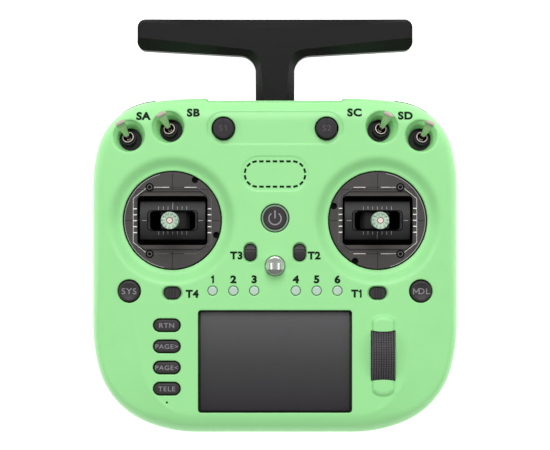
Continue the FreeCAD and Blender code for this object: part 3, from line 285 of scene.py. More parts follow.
def height(px, py):
    """Height of the sleeve's outer face over each point of the plan."""
    px, py = np.asarray(px, float), np.asarray(py, float)
    inset = np.clip(inset_of(px, py), 0, FRONT_ROUND)
    z = FRONT_Z - FRONT_ROUND + np.sqrt(np.maximum(FRONT_ROUND ** 2 - (FRONT_ROUND - inset) ** 2, 0))
    crease = crease_distance(px, py)
    facet = FRONT_Z - math.tan(FACET_FALL) * crease
    low, high = np.minimum(z, facet), np.maximum(z, facet)
    z = low - CREASE_SOFT * np.log1p(np.exp(-(high - low) / CREASE_SOFT))
    swell = np.exp(-(crease + 0.6) ** 2) * smooth_step((-40.0 - py) / 20.0)
    z += CREASE_SWELL * swell * smooth_step((inset - 8.0) / 4.0)
    for x, y in GIMBALS:
        t = (DISH_OUTER - np.hypot(px - x, py - y)) / (DISH_OUTER - DISH_INNER)
        z -= DISH_DEPTH * smooth_step(t)
    for shape, depth in ((LEGEND_STADIUM, 0.4), (PLATE_STADIUM, 0.35)):
        z -= depth * smooth_step((0.4 - shape.distance(px, py)) / 0.8)
    for inner, outer in TRIM_HOLES:
        inside, edge = np.maximum(inner.distance(px, py), 0), np.maximum(-outer.distance(px, py), 0)
        share = np.where(outer.distance(px, py) < 0, edge / np.maximum(edge + inside, 1e-6), 0)
        z -= TRIM_DEPTH * share ** 1.3
    z += fairing_rise(px, py)
    for shape, r in ROLLED_EDGES:
        d = np.clip(shape.distance(px, py), 0, r)
        z -= r - np.sqrt(r * r - (r - d) ** 2)
    return z


# ---- sleeve mesh ----
def front_inset(degrees):
    """Inset from the outline at an angle round the front edge's quarter circle."""
    return FRONT_ROUND * (1 - math.cos(math.radians(degrees)))


def loops_around(shapes, gaps, step):
    """Points on loops at given distances outside each shape."""
    return [p for shape in shapes for gap in gaps for p in shape.grown(gap).loop(step)]


def plan_points():
    """Border, hole loops and free points of the front's plan, with the loops' edges."""
    points, edges, loops = [], [], []

    def add_loop(loop):
        first = len(points)
        points.extend([tuple(p) for p in loop])
        count = len(loop)
        edges.extend([(first + i, first + (i + 1) % count) for i in range(count)])
        loops.append(list(loop))

    add_loop(OUTLINE - NORMALS * RIM_INSET)
    steps = [min(0.9, shape.r / 3) for shape in PLAIN_HOLES] + [1.0] * len(WELL_MOUTHS)
    steps += [1.3] * len(GIMBAL_HOLES) + [1.6, 0.8] + [0.6] * len(TRIM_HOLES)
    for shape, step in zip(HOLES, steps):
        add_loop(shape.loop(step))
    free = []
    for shape in PLAIN_HOLES + [SCREEN]:
        for gap in (0.05, 0.14, 0.28, 0.48, 0.85, 1.5):
            free += shape.grown(gap).loop(max(0.45, min(1.4, 0.35 + gap)))
    free += loops_around([ROLLER_HOLE], (0.06, 0.16, 0.34, 0.65, 1.1), 0.7)
    free += loops_around(WELL_MOUTHS, (0.08, 0.25, 0.5, 0.8, 1.15, 1.8), 1.1)
    free += loops_around(GIMBAL_HOLES, (0.06, 0.16, 0.32, 0.7, 1.3, 2.1, *range(3, 10)), 1.5)
    for inner, outer in TRIM_HOLES:
        for t in (0.08, 0.2, 0.35, 0.5, 0.7, 0.88, 1.0, 1.25):
            w, h = inner.w + (outer.w - inner.w) * t, inner.h + (outer.h - inner.h) * t
            free += Rounded(inner.x, inner.y, w, h, 9.0).loop(0.6)
    free += loops_around([LEGEND_STADIUM, PLATE_STADIUM], (-0.9, -0.5, -0.25, 0.0, 0.25, 0.5, 0.9), 1.0)
    free += loops_around([FAIRING], (-1.6, -1.1, -0.75, -0.45, -0.2, -0.06, 0.04, 0.3, 1.0), 0.7)
    half = FAIRING_W / 2
    for back in (0.0, 0.15, 0.4, 0.8, 1.3, 1.9, 2.5, 3.0, 3.6):
        for dx in np.linspace(-half + 0.02, half - 0.02, 17):
            tip = FAIRING_LENGTH / 2 - TIP_RADIUS + math.sqrt(TIP_RADIUS ** 2 - dx * dx) - back
            free += [(ROLLER_X + dx, ROLLER_Y + tip), (ROLLER_X + dx, ROLLER_Y - tip)]
    for degrees in (27, 35, 43, 51, 59, 67, 75, 83, 90):
        free += [tuple(p) for p in (OUTLINE - NORMALS * front_inset(degrees))[::2]]
    free += grid_points()
    free = np.array(free)
    keep = inset_of(free[:, 0], free[:, 1]) > RIM_INSET + 0.25
    for shape in HOLES:
        keep &= shape.distance(free[:, 0], free[:, 1]) > 0.03
    free = thinned(free[keep], 0.12)
    return points + [tuple(p) for p in free], edges, loops


def thinned(points, gap):
    """Drops points that share a small cell with an earlier one."""
    cells = np.round(points / gap).astype(int)
    _, first = np.unique(cells, axis=0, return_index=True)
    return points[np.sort(first)]


def grid_points():
    """Even points away from the features, closer together along the crease."""
    points = []
    for step, beside_crease in ((2.6, False), (1.0, True)):
        xs = np.arange(-HALF_WIDTH, HALF_WIDTH, step)
        ys = np.arange(BOTTOM_Y, TOP_Y, step * 0.87)
        x, y = np.meshgrid(xs, ys)
        x = x + (np.arange(len(ys))[:, None] % 2) * step / 2
        x, y = x.ravel(), y.ravel()
        keep = (np.abs(crease_distance(x, y) - 0.4) < 3.2) == beside_crease
        keep &= inset_of(x, y) > (1.0 if beside_crease else FRONT_ROUND + 0.5)
        for shape in PLAIN_HOLES + WELL_MOUTHS + [SCREEN]:
            keep &= shape.distance(x, y) > 2.0
        for shape in GIMBAL_HOLES:
            keep &= shape.distance(x, y) > 9.6
        for shape in (LEGEND_STADIUM, PLATE_STADIUM):
            keep &= np.abs(shape.distance(x, y)) > 1.2
        for _, outer in TRIM_HOLES:
            keep &= outer.distance(x, y) > 1.4
        keep &= (np.abs(x - ROLLER_X) > 6.9) | (np.abs(y - ROLLER_Y) > 22.0)
        points += list(zip(x[keep], y[keep]))
    return points


def well_point(mouth, floor, p, start, share):
    """Place on a well's wall, a share of the way down from a point of its rolled mouth."""
    level = start + (WELL_FLOOR_Z - start) * share
    up = (level - WELL_FLOOR_Z) / WELL_DEPTH
    axis = np.array((floor.x, floor.y)) * (1 - up) + np.array((mouth.x, mouth.y)) * up
    out = np.array((p[0] - mouth.x, p[1] - mouth.y)) / mouth.r
    cone = axis + out * (WELL_FLOOR_R + (WELL_MOUTH_R - WELL_FLOOR_R) * up)
    lean = min(1.0, share / 0.25)
    x, y = np.array(p) * (1 - lean) + cone * lean
    return x * MM, y * MM, level * MM


def strip(bm, upper, lower, index=0):
    """Closed strip of faces between two rings of vertices."""
    count, made = len(upper), []
    for i in range(count):
        j = (i + 1) % count
        four = (upper[i], upper[j], lower[j], lower[i])
        if len(set(four)) == 4:
            try:
                made.append(bm.faces.new(four))
                made[-1].material_index = index
            except ValueError:
                pass
    return made


def hole_wall(bm, shape, loop, top):
    """Wall inside an opening, down from the vertices round it; returns the faces of a plain wall."""
    start, walls = [v.co.z / MM for v in top], []
    if shape in WELL_MOUTHS:
        floor = WELL_FLOORS[WELL_MOUTHS.index(shape)]
        for k in range(1, 9):
            ring = [bm.verts.new(well_point(shape, floor, p, z, k / 8.0)) for p, z in zip(loop, start)]
            strip(bm, top, ring, WELL_SHADE_SLOT)
            top = ring
        return walls
    for drop in (0.5, 1.6):
        ring = [bm.verts.new((p[0] * MM, p[1] * MM, (z - drop) * MM)) for p, z in zip(loop, start)]
        walls += strip(bm, top, ring)
        top = ring
    return walls


def sleeve_mesh():
    """Front of the sleeve over a triangulated plan, with the walls of its openings and its side."""
    points, edges, loops = plan_points()
    result = geometry.delaunay_2d_cdt([Vector(p) for p in points], edges, [], 0, 1e-5)
    plan = np.array([tuple(v) for v in result[0]])
    faces = [tuple(f) for f in result[2]]
    centre = plan[np.array(faces)].mean(axis=1)
    inside = inset_of(centre[:, 0], centre[:, 1]) > RIM_INSET - 0.02
    for shape in HOLES:
        inside &= shape.distance(centre[:, 0], centre[:, 1]) > 0
    z = height(plan[:, 0], plan[:, 1])
    bm = bmesh.new()
    verts = [bm.verts.new((p[0] * MM, p[1] * MM, h * MM)) for p, h in zip(plan, z)]
    for face, good in zip(faces, inside):
        if good:
            bm.faces.new([verts[i] for i in face])

    def found(p):
        return verts[int(np.argmin(np.hypot(plan[:, 0] - p[0], plan[:, 1] - p[1])))]

    walls = []
    for shape, loop in zip(HOLES, loops[1:]):
        walls += [(face, shape) for face in hole_wall(bm, shape, loop, [found(p) for p in loop])]
    side_wall(bm, [found(p) for p in loops[0]])
    bmesh.ops.delete(bm, geom=[v for v in bm.verts if not v.link_faces], context="VERTS")
    bmesh.ops.recalc_face_normals(bm, faces=bm.faces)
    for face, shape in walls:
        face.normal_update()
        centre = face.calc_center_median() / MM
        if (shape.x - centre.x) * face.normal.x + (shape.y - centre.y) * face.normal.y < 0:
            face.normal_flip()
    return finished(bm, "sleeve_skin")


def side_wall(bm, above):
    """Side of the sleeve, the back edge and its lip, with the port and shoulder openings left out."""
    rows = [(front_inset(a), FRONT_Z - FRONT_ROUND * (1 - math.sin(math.radians(a)))) for a in (13, 6, 0)]
    rows += [(0.0, z) for z in (33.4, 31, 28, 25, 22.6, 19.5, BACK_Z + BACK_ROUND)]  # rows meet the openings
    rows += [(BACK_ROUND * (1 - math.cos(a)), BACK_Z + BACK_ROUND * (1 - math.sin(a)))
             for a in (math.pi / 2 * k / 6 for k in range(1, 7))]
    rows.append((LIP, BACK_Z))
    for inset, z in rows:
        ring = [bm.verts.new((x * MM, y * MM, z * MM)) for x, y in OUTLINE - NORMALS * inset]
        strip(bm, above, ring)
        above = ring
    gone = []
    for face in bm.faces:
        centre = face.calc_center_median() / MM
        xs = [abs(v.co.x) / MM for v in face.verts]
        port = centre.z < CUT_Z and max(xs) < CUT_HALF + 0.1
        shoulder = SHOULDER_LOW[1] < centre.z < SHOULDER_HIGH[1]
        shoulder = shoulder and SHOULDER_LOW[0] < min(xs) and max(xs) < SHOULDER_HIGH[0]
        if len(face.verts) == 4 and centre.y > 50 and (port or shoulder):
            gone.append(face)
    bmesh.ops.delete(bm, geom=gone, context="FACES")


def finished(bm, name, smooth=True):
    """Object made from a working mesh."""
    mesh = bpy.data.meshes.new(name)
    bm.to_mesh(mesh)
    bm.free()
    obj = bpy.data.objects.new(name, mesh)
    bpy.context.collection.objects.link(obj)
    for polygon in mesh.polygons:
        polygon.use_smooth = smooth
    return obj


# ---- materials ----
def linear(rgb):
    """Linear colour, with full alpha, from display values of 0 to 255."""
    shares = [c / 255.0 for c in rgb]
    return tuple(c / 12.92 if c < 0.04 else ((c + 0.055) / 1.055) ** 2.4 for c in shares) + (1.0,)


class Look:
    """A node material whose colour and bump vary finely over the object's own coordinates."""

    def __init__(self, name, rgb, rough, vary=0.06, grain=2000.0, bump=0.01,
                 metallic=0.0, shine=0.5, alpha=1.0):
        self.material = bpy.data.materials.new(name)
        self.material.use_nodes = True
        self.tree = self.material.node_tree
        self.shader = self.tree.nodes["Principled BSDF"]
        levels = {"Roughness": rough, "Metallic": metallic, "Specular IOR Level": shine, "Alpha": alpha}
        for socket, level in levels.items():
            self.shader.inputs[socket].default_value = level
        self.place = self.node("ShaderNodeTexCoord").outputs["Object"]
        self.varied(rgb, vary, grain)
        self.grained(grain, bump, rough)

    def node(self, kind, **values):
        """New node of a kind, with the given levels in its inputs."""
        made = self.tree.nodes.new(kind)
        for key, value in values.items():
            made.inputs[key].default_value = value
        return made

    def link(self, a, b):
        self.tree.links.new(a, b)

    def noise(self, scale, detail=3.0):
        made = self.node("ShaderNodeTexNoise", Scale=scale, Detail=detail)
        self.link(self.place, made.inputs["Vector"])
        return made.outputs["Fac"]

    def varied(self, rgb, vary, grain):
        """Colour that drifts a little over broad patches."""
        ramp = self.node("ShaderNodeValToRGB")
        base = np.array(linear(rgb)[:3])
        ramp.color_ramp.elements[0].position, ramp.color_ramp.elements[1].position = 0.3, 0.7
        ramp.color_ramp.elements[0].color = tuple(base * (1 - vary)) + (1,)
        ramp.color_ramp.elements[1].color = tuple(np.minimum(base * (1 + vary), 1)) + (1,)
        self.link(self.noise(grain / 18.0), ramp.inputs["Fac"])
        self.link(ramp.outputs["Color"], self.shader.inputs["Base Color"])

    def grained(self, grain, strength, rough):
        """Fine grain in the roughness and the bump."""
        fine = self.noise(grain)
        spread = self.node("ShaderNodeMapRange")
        spread.inputs["To Min"].default_value = max(rough - 0.07, 0.02)
        spread.inputs["To Max"].default_value = min(rough + 0.07, 1.0)
        self.link(fine, spread.inputs["Value"])
        self.link(spread.outputs["Result"], self.shader.inputs["Roughness"])
        bump = self.node("ShaderNodeBump", Strength=strength * 10, Distance=0.0002)
        self.link(fine, bump.inputs["Height"])
        self.link(bump.outputs["Normal"], self.shader.inputs["Normal"])


LOOKS = {
    "silicone": Look("mint_silicone", (165, 240, 161), 0.42, vary=0.012, grain=1500.0, shine=0.35),
    "black": Look("black_moulding", (24, 24, 25), 0.46, vary=0.08, grain=2200.0, bump=0.03, shine=0.3),
    # darker, greener copy of the silicone for the toggle wells' walls: painted shade and green cast inside
    # the recess
    "well": Look("well_painted_shade", (98, 214, 122), 0.5, vary=0.012, grain=1500.0, shine=0.2),
    "antenna": Look("antenna_moulding", (14, 13, 13), 0.42, grain=2600.0, bump=0.03, shine=0.22),
    "rubber": Look("pad_rubber", (26, 26, 28), 0.75, vary=0.1, grain=2600.0, bump=0.05, shine=0.3),
    "steel": Look("brushed_steel", (150, 150, 152), 0.32, grain=1800.0, metallic=1.0),
    "bushing": Look("dark_bushing", (30, 22, 21), 0.35, grain=1800.0, metallic=0.8),
    "chrome": Look("polished_chrome", (222, 226, 220), 0.16, vary=0.02, grain=900.0, bump=0.002,
                   metallic=0.6),
    "lever": Look("plated_lever", (226, 216, 208), 0.24, vary=0.03, grain=1500.0, bump=0.004, metallic=1.0),
    # silver stick ends, tinted mint as a painted reflection of the green sleeve
    "mint": Look("silver_painted_green_reflection", (206, 232, 210), 0.3, vary=0.04, grain=2500.0, bump=0.02, metallic=0.25),
    # near white: painted highlight on the stick ends' set screws
    "pearl": Look("screw_painted_highlight", (252, 236, 230), 0.3, vary=0.02, grain=1500.0, bump=0.005, metallic=0.1),
    # pinkish: painted reflection on the chrome lever ends
    "lever_end_reflection": Look("lever_end_painted_reflection", (214, 190, 186), 0.35, vary=0.12, grain=2500.0, bump=0.02, metallic=0.3),
    "knurl": Look("knurl_shade", (112, 138, 118), 0.5, vary=0.05, grain=1500.0),
    "copper": Look("copper_shade", (150, 84, 72), 0.35, vary=0.08, grain=1500.0, metallic=0.4),
    # near white: painted highlight on the chrome bushing rims
    "rim": Look("rim_painted_highlight", (255, 236, 228), 0.3, vary=0.05, grain=1500.0, bump=0.005, metallic=0.1),
    # near black, used for painted shade in holes and recesses
    "painted_shade": Look("deep_shade", (7, 7, 8), 0.7, vary=0.05, shine=0.1),
    "knob_ink": Look("knob_ink", (84, 76, 84), 0.6, vary=0.04),
    "plate": Look("gimbal_plate", (75, 71, 71), 0.55, grain=2400.0, bump=0.04, shine=0.3),
    "key": Look("key_moulding", (58, 54, 56), 0.48, vary=0.08, grain=2400.0, bump=0.03, shine=0.3),
    "knob": Look("knob_rubber", (54, 51, 54), 0.6, vary=0.16, grain=2600.0, bump=0.07, shine=0.3),
    "clear_key": Look("clear_key", (196, 220, 204), 0.3, vary=0.03, grain=1500.0),
    "ring": Look("light_ring", (128, 158, 130), 0.35, vary=0.03, grain=1500.0),
    "board": Look("solder_mask", (24, 74, 52), 0.4, vary=0.12, grain=1500.0, bump=0.05),
    "wrap": Look("cell_wrap", (40, 70, 120), 0.3, vary=0.08, grain=900.0, bump=0.02),
    "legend": Look("dark_ink_and_gap_shade", (10, 34, 18), 0.7, vary=0.05, shine=0.2),
    "pale_ink": Look("pale_ink", (150, 146, 152), 0.6, vary=0.04),
    "white_ink": Look("white_ink", (246, 246, 240), 0.6, vary=0.03),
    # pale grey for the printed ticks and for the painted highlight on the surrounds' edges
    "tick_ink_and_rim_highlight": Look("tick_ink_and_rim_highlight", (176, 176, 176), 0.6, vary=0.03),
    "faint_ink": Look("faint_ink", (104, 102, 104), 0.6, vary=0.04),
    "groove": Look("groove_shade", (26, 26, 27), 0.7, vary=0.05, shine=0.2),
    # dark green for the painted shade in the gap round the screen
    "border": Look("screen_border", (22, 30, 24), 0.3, vary=0.05, bump=0.005, shine=0.3),
}


def span_mix(look, value, low, high, stops):
    """Colours a look along a value that runs from low to high, through (share, rgb) stops."""
    span = look.node("ShaderNodeMapRange")
    span.inputs["From Min"].default_value = low
    span.inputs["From Max"].default_value = high
    look.link(value, span.inputs["Value"])
    ramp = look.node("ShaderNodeValToRGB")
    for element, (share, rgb) in zip(ramp.color_ramp.elements, (stops[0], stops[-1])):
        element.position, element.color = share, linear(rgb)
    for share, rgb in stops[1:-1]:
        ramp.color_ramp.elements.new(share).color = linear(rgb)
    look.link(span.outputs["Result"], ramp.inputs["Fac"])
    look.link(ramp.outputs["Color"], look.shader.inputs["Base Color"])


def vector_step(look, operation, value, numbers=None):
    """Node that works on a vector, with a fixed second vector where one is given."""
    step = look.node("ShaderNodeVectorMath")
    step.operation = operation
    if numbers is not None:
        step.inputs[1].default_value = numbers
    look.link(value, step.inputs[0])
    return step.outputs["Value" if operation == "LENGTH" else "Vector"]


def axis_value(look, axis):
    """One coordinate of the place on the object."""
    split = look.node("ShaderNodeSeparateXYZ")
    look.link(look.place, split.inputs["Vector"])
    return split.outputs[axis]


def roller_look():
    """Rubber roller cut into small blocks, with painted shade as dark lines in the cuts that run round it."""
    look = Look("roller_rubber", (66, 64, 68), 0.55, vary=0.1, grain=2600.0, bump=0.04, shine=0.3)
    value = axis_value(look, "X")
    for operation, number in (("SUBTRACT", ROLLER_X * MM), ("DIVIDE", ROLLER_PITCH * MM), ("FRACT", 0.0)):
        step = look.node("ShaderNodeMath")
        step.operation = operation
        step.inputs[1].default_value = number
        look.link(value, step.inputs[0])
        value = step.outputs["Value"]
    # painted shade in the cuts between the blocks
    dark, pale = (22, 22, 23), (84, 80, 84)
    span_mix(look, value, 0.0, 1.0, ((0.0, dark), (0.16, dark), (0.28, pale), (0.8, pale), (0.95, dark)))
    return look


def panel_look():
    """Screen that is off; a painted reflection on it fades from the top edge to the bottom edge."""
    look = Look("screen_panel", (70, 70, 72), 0.35, vary=0.02, grain=1200.0, bump=0.002, shine=0.2)
    low, high = box_mm("lcd_panel")
    span_mix(look, axis_value(look, "Y"), low[1] * MM, high[1] * MM,
             ((0.06, (66, 62, 66)), (0.5, (92, 92, 93)), (0.94, (122, 121, 123))))
    return look


def barrel_look(word):
    """Barrel of a gimbal: satin face, and painted shade, near black, where it steps back behind the surround.
    """
    look = Look("gimbal_barrel_" + word, (50, 50, 51), 0.5, grain=2400.0, bump=0.04, shine=0.25)
    x, y, _ = middle("gimbal_yoke_" + word)
    top = box_mm("gimbal_yoke_" + word)[1][2]
    value = vector_step(look, "SUBTRACT", look.place, (x * MM, y * MM, (top - BARREL_R) * MM))
    value = vector_step(look, "MULTIPLY", value, (0, 1, 1))
    value = vector_step(look, "LENGTH", value)
    # painted shade: near black on the barrel below the step
    span_mix(look, value, (BARREL_R - 1.2) * MM, BARREL_R * MM, ((0.3, (10, 10, 10)), (0.6, (50, 50, 51))))
    return look


LOOKS["glass"] = Look("screen_glass", (34, 34, 36), 0.08, vary=0.02, grain=600.0, bump=0.001, alpha=0.12)
LOOKS["roller"] = roller_look()
LOOKS["panel"] = panel_look()
LOOKS["barrel_left"], LOOKS["barrel_right"] = barrel_look("left"), barrel_look("right")


def paint(obj, look):
    obj.data.materials.clear()
    obj.data.materials.append(LOOKS[look].material)


EXACT_LOOKS = {
    "rear_grips": "rubber", "shell_screws": "steel", "bezel_screws": "groove", "toggle_bodies": "bushing",
    "antenna_hinge_pin": "steel", "lanyard_post": "chrome", "screen_lens": "glass", "lcd_panel": "panel",
    "power_ring": "ring", "power_button": "key", "main_board": "board", "battery_pack": "wrap",
    "rf_module": "steel", "io_sockets": "steel", "knob_pots": "steel", "scroll_roller": "roller",
    "antenna_blade": "antenna", "silicone_sleeve": "silicone"}
FAMILY_LOOKS = {
    "gimbal_bezel": "plate", "gimbal_yoke_left": "barrel_left", "gimbal_yoke_right": "barrel_right",
    "stick_end": "mint", "toggle_lever": "lever", "function_key": "clear_key",
    "key_": "key", "knob_": "knob", "trim_": "key"}


def look_for(node):
    """Name of the look that a piece of the frame wears; most of the moulded parts are black."""
    if node in EXACT_LOOKS:
        return EXACT_LOOKS[node]
    for start, look in FAMILY_LOOKS.items():
        if node.startswith(start):
            return look
    return "black"


# ---- small drawn pieces ----
def add_part(bm, part, unit):
    """Adds (vertices, faces) to a working mesh, without any face that is there already."""
    made = [bm.verts.new(Vector(v) * unit) for v in part[0]]
    for face in part[1]:
        try:
            bm.faces.new([made[i] for i in face])
        except ValueError:
            pass


def joined(parts, name, body, look):
    """One mesh object from a list of (vertices, faces) in millimetres."""
    bm = bmesh.new()
    for part in parts:
        add_part(bm, part, MM)
    bmesh.ops.recalc_face_normals(bm, faces=bm.faces)
    obj = finished(bm, name, smooth=False)
    paint(obj, look)
    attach(obj, body)
    return obj


def bar(x, y, z, length, width, turn=0.0, thick=PRINT):
    """Flat bar centred at a place, along a direction in degrees, standing on the surface."""
    c, s = math.cos(math.radians(turn)), math.sin(math.radians(turn))
    verts = []
    for dz in (-thick / 2, thick / 2):
        for a, b in ((-1, -1), (1, -1), (1, 1), (-1, 1)):
            u, v = a * length / 2, b * width / 2
            verts.append((x + u * c - v * s, y + u * s + v * c, z + dz))
    faces = [(3, 2, 1, 0), (4, 5, 6, 7)] + [(i, (i + 1) % 4, 4 + (i + 1) % 4, 4 + i) for i in range(4)]
    return verts, faces


def line(a, b, z, width, thick=PRINT):
    """Flat bar from one place to another."""
    turn = math.degrees(math.atan2(b[1] - a[1], b[0] - a[0]))
    return bar((a[0] + b[0]) / 2, (a[1] + b[1]) / 2, z, math.dist(a, b), width, turn, thick)


def annulus(x, y, z, r0, r1, start=0.0, stop=360.0, count=48, thick=PRINT):
    """Flat ring or part of one."""
    verts, faces = [], []
    for i in range(count + 1):
        a = math.radians(start + (stop - start) * i / count)
        for r in (r0, r1):
            for dz in (-thick / 2, thick / 2):
                verts.append((x + r * math.cos(a), y + r * math.sin(a), z + dz))
    for i in range(count):
        a, b = 4 * i, 4 * i + 4
        faces += [(a + 1, a + 3, b + 3, b + 1), (a, b, b + 2, a + 2)]
        faces += [(a, a + 1, b + 1, b), (a + 2, b + 2, b + 3, a + 3)]
    return verts, faces


def words(text, x, y, z, cap, name, bold=0.0, stretch=1.0):
    """Lettering as a thin mesh, with capitals of the given height, centred on a place."""
    curve = bpy.data.curves.new(name, "FONT")
    curve.body = text
    curve.align_x, curve.align_y = "CENTER", "CENTER"
    curve.size = cap / CAPITAL_SHARE * MM
    curve.offset = bold * MM
    curve.extrude = PRINT / 2 * MM
    curve.resolution_u = 4
    curve.space_character = 1.1
    holder = bpy.data.objects.new(name, curve)
    bpy.context.collection.objects.link(holder)
    bpy.context.view_layer.update()
    mesh = bpy.data.meshes.new_from_object(holder)
    bpy.data.objects.remove(holder)
    co = np.array([v.co[:] for v in mesh.vertices]) / MM
    centre = (co.min(axis=0) + co.max(axis=0)) / 2
    verts = [((p[0] - centre[0]) * stretch + x, p[1] - centre[1] + y, p[2] + z) for p in co]
    faces = [tuple(polygon.vertices) for polygon in mesh.polygons]
    bpy.data.meshes.remove(mesh)
    return verts, faces


def divided(part, longest=0.7):
    """The same flat part with its long edges split, so that it can follow a curved surface."""
    bm = bmesh.new()
    add_part(bm, part, 1.0)
    bmesh.ops.triangulate(bm, faces=bm.faces)
    for _ in range(5):
        long = [e for e in bm.edges if e.calc_length() > longest]
        if not long:
            break
        bmesh.ops.subdivide_edges(bm, edges=long, cuts=1)
        bmesh.ops.triangulate(bm, faces=bm.faces)
    bm.verts.index_update()
    verts = [tuple(v.co) for v in bm.verts]
    faces = [tuple(v.index for v in f.verts) for f in bm.faces]
    bm.free()
    return verts, faces


def on_sleeve(part, lift=0.1):
    """Lays a flat part drawn at level zero on the sleeve's front."""
    verts, faces = divided(part, 1.2)
    co = np.array(verts)
    co[:, 2] += height(co[:, 0], co[:, 1]) + lift
    return [tuple(v) for v in co], faces


def on_node(part, node, lift=0.03):
    """Lays a flat part drawn at level zero on a piece of the frame, seen from the front."""
    mesh = NODES[node].data
    corners = [v.co[:] for v in mesh.vertices]
    tree = BVHTree.FromPolygons(corners, [tuple(f.vertices) for f in mesh.polygons])
    part, verts = divided(part), []
    for x, y, z in part[0]:
        hit = tree.ray_cast(Vector((x * MM, y * MM, 0.2)), Vector((0, 0, -1)))[0]
        level = hit.z / MM if hit else box_mm(node)[1][2]
        verts.append((x, y, z + level + lift))
    return verts, part[1]


def one(x, y, cap, weight=0.85):
    """Figure one with its flag, as bars at level zero."""
    flag = line((x - 0.7, y + cap * 0.2), (x + 0.45, y + cap * 0.43), 0, weight * 0.8)
    return [bar(x + 0.3, y, 0, cap, weight, 90), flag]


def capital_m(x, y, cap, weight):
    """Capital M from two posts and two slants."""
    half = cap * 0.46
    foot = y - cap * 0.22
    return [bar(x - half, y, 0, cap, weight, 90), bar(x + half, y, 0, cap, weight, 90),
            line((x - half, y + cap / 2 - weight / 3), (x, foot), 0, weight),
            line((x + half, y + cap / 2 - weight / 3), (x, foot), 0, weight)]


def band(outer, inner, z, step=0.8):
    """Flat closed band between two shapes of the same kind."""
    a, b = outer.loop(step), inner.loop(step)
    if len(a) != len(b):
        b = [min(b, key=lambda p: math.dist(p, q)) for q in a]
    count = len(a)
    faces = [(i, (i + 1) % count, count + (i + 1) % count, count + i) for i in range(count)]
    return [(x, y, z) for x, y in a + b], faces


def legends():
    """Dark generic markings beside the controls."""
    parts = []
    for text, x, y in (("SA", -67.0, 55.6), ("SB", -41.6, 57.3), ("SC", 40.5, 57.4), ("SD", 66.5, 55.8)):
        parts.append(words(text, x, y, 0, 3.75, "mark", bold=0.25, stretch=1.12))
    for text, x, y in (("T3", -19.7, -15.5), ("T2", 19.9, -15.5), ("T4", -42.2, -35.0)):
        parts.append(words(text, x, y, 0, 3.65, "mark", bold=0.24, stretch=1.06))
    parts.append(words("T", 40.6, -34.9, 0, 3.65, "mark", bold=0.24, stretch=1.06))
    parts += one(43.4, -34.9, 4.1)
    for k in range(1, 7):
        x = middle(f"function_key_{k}")[0]
        if k == 1:
            parts += one(x, -27.65, 4.0)
        else:
            parts.append(words(str(k), x, -27.65, 0, 3.6, "mark", bold=0.25, stretch=1.14))
    joined([on_sleeve(part) for part in parts], "front_legends", "radio_body", "legend")


def plate_dashes():
    """Dashed line round the blank plate above the power button."""
    count, length, width, dashes = 22, 2.3, 1.05, []
    path = Rounded(0, 26.0, 30.8, 12.9, 6.45).loop(0.05)
    steps = [math.dist(path[i], path[(i + 1) % len(path)]) for i in range(len(path))]
    lengths = np.cumsum([0] + steps)
    for k in range(count):
        i = int(np.searchsorted(lengths, lengths[-1] * (k + 0.5) / count)) % len(path)
        a, b = path[i - 3], path[(i + 3) % len(path)]
        turn = math.degrees(math.atan2(b[1] - a[1], b[0] - a[0]))
        dashes.append(on_sleeve(bar(*path[i], 0, length, width, turn), 0.06))
    joined(dashes, "plate_dashes", "radio_body", "legend")


KEY_TEXTS = (("key_rtn", "RTN", 2.4), ("key_page_next", "PAGE>", 2.3), ("key_page_back", "PAGE<", 2.3),
             ("key_tele", "TELE", 2.4), ("key_sys", "SYS", 3.0), ("key_mdl", "DL", 3.0),
             ("knob_left", "S", 2.9), ("knob_right", "S2", 2.9))


def key_legends():
    """Pale markings on the keys and fainter ones on the knobs."""
    for node, text, cap in KEY_TEXTS:
        x, y, _ = middle(node)
        if node == "knob_left":
            parts = [words(text, x - 1.2, y, 0, cap, node, bold=0.01, stretch=1.14)]
            parts += one(x + 1.2, y, 3.1, 0.42)
        elif node == "key_mdl":
            parts = capital_m(x - 2.4, y, cap, 0.42)
            parts.append(words(text, x + 1.7, y, 0, cap, node, stretch=1.1))
        else:
            parts = [words(text, x, y, 0, cap, node, bold=0.01, stretch=1.14)]
        ink = "knob_ink" if node.startswith("knob") else "pale_ink"
        joined([on_node(part, node) for part in parts], node + "_legend", node, ink)


def power_icon():
    """Broken ring with an upright bar on the power button, and painted shade as a dark edge in the gap round
    the light ring.
    """
    x, y, _ = middle("power_button")
    z = box_mm("power_button")[1][2] + 0.02
    arc = annulus(x, y - 0.2, z, 2.8, 3.45, start=125, stop=415, count=40)
    joined([arc, bar(x, y + 1.9, z, 4.1, 0.72, 90)], "power_icon", "power_button", "pale_ink")
    # painted shade in the gap between the sleeve's hole and the light ring
    ring = annulus(x, y, box_mm("power_ring")[1][2] + 0.02, 6.85, 7.15, count=64)
    joined([ring], "power_ring_gap_shade", "radio_body", "legend")


FRAME_LINES = (((20.0, 11.2), (20.0, -11.2)), ((20.0, 11.2), (13.3, 16.6)), ((20.0, -11.2), (13.3, -16.6)))
GROOVES = [((0, end * 24.3), (0, end * 15.9)) for end in (1, -1)]
GROOVES += [((end * 24.3, 0), (end * 20.4, 0)) for end in (-1, 1)]
GROOVES += [((-14.5, end * 14.8), (14.5, end * 14.8)) for end in (1, -1)]
GROOVES += [((a * 14.5, b * 14.8), (a * 17.6, b * 12.6)) for b in (1, -1) for a in (1, -1)]
TENSION_SCREWS = ((-22.45, 7.4), (-11.55, -20.75))


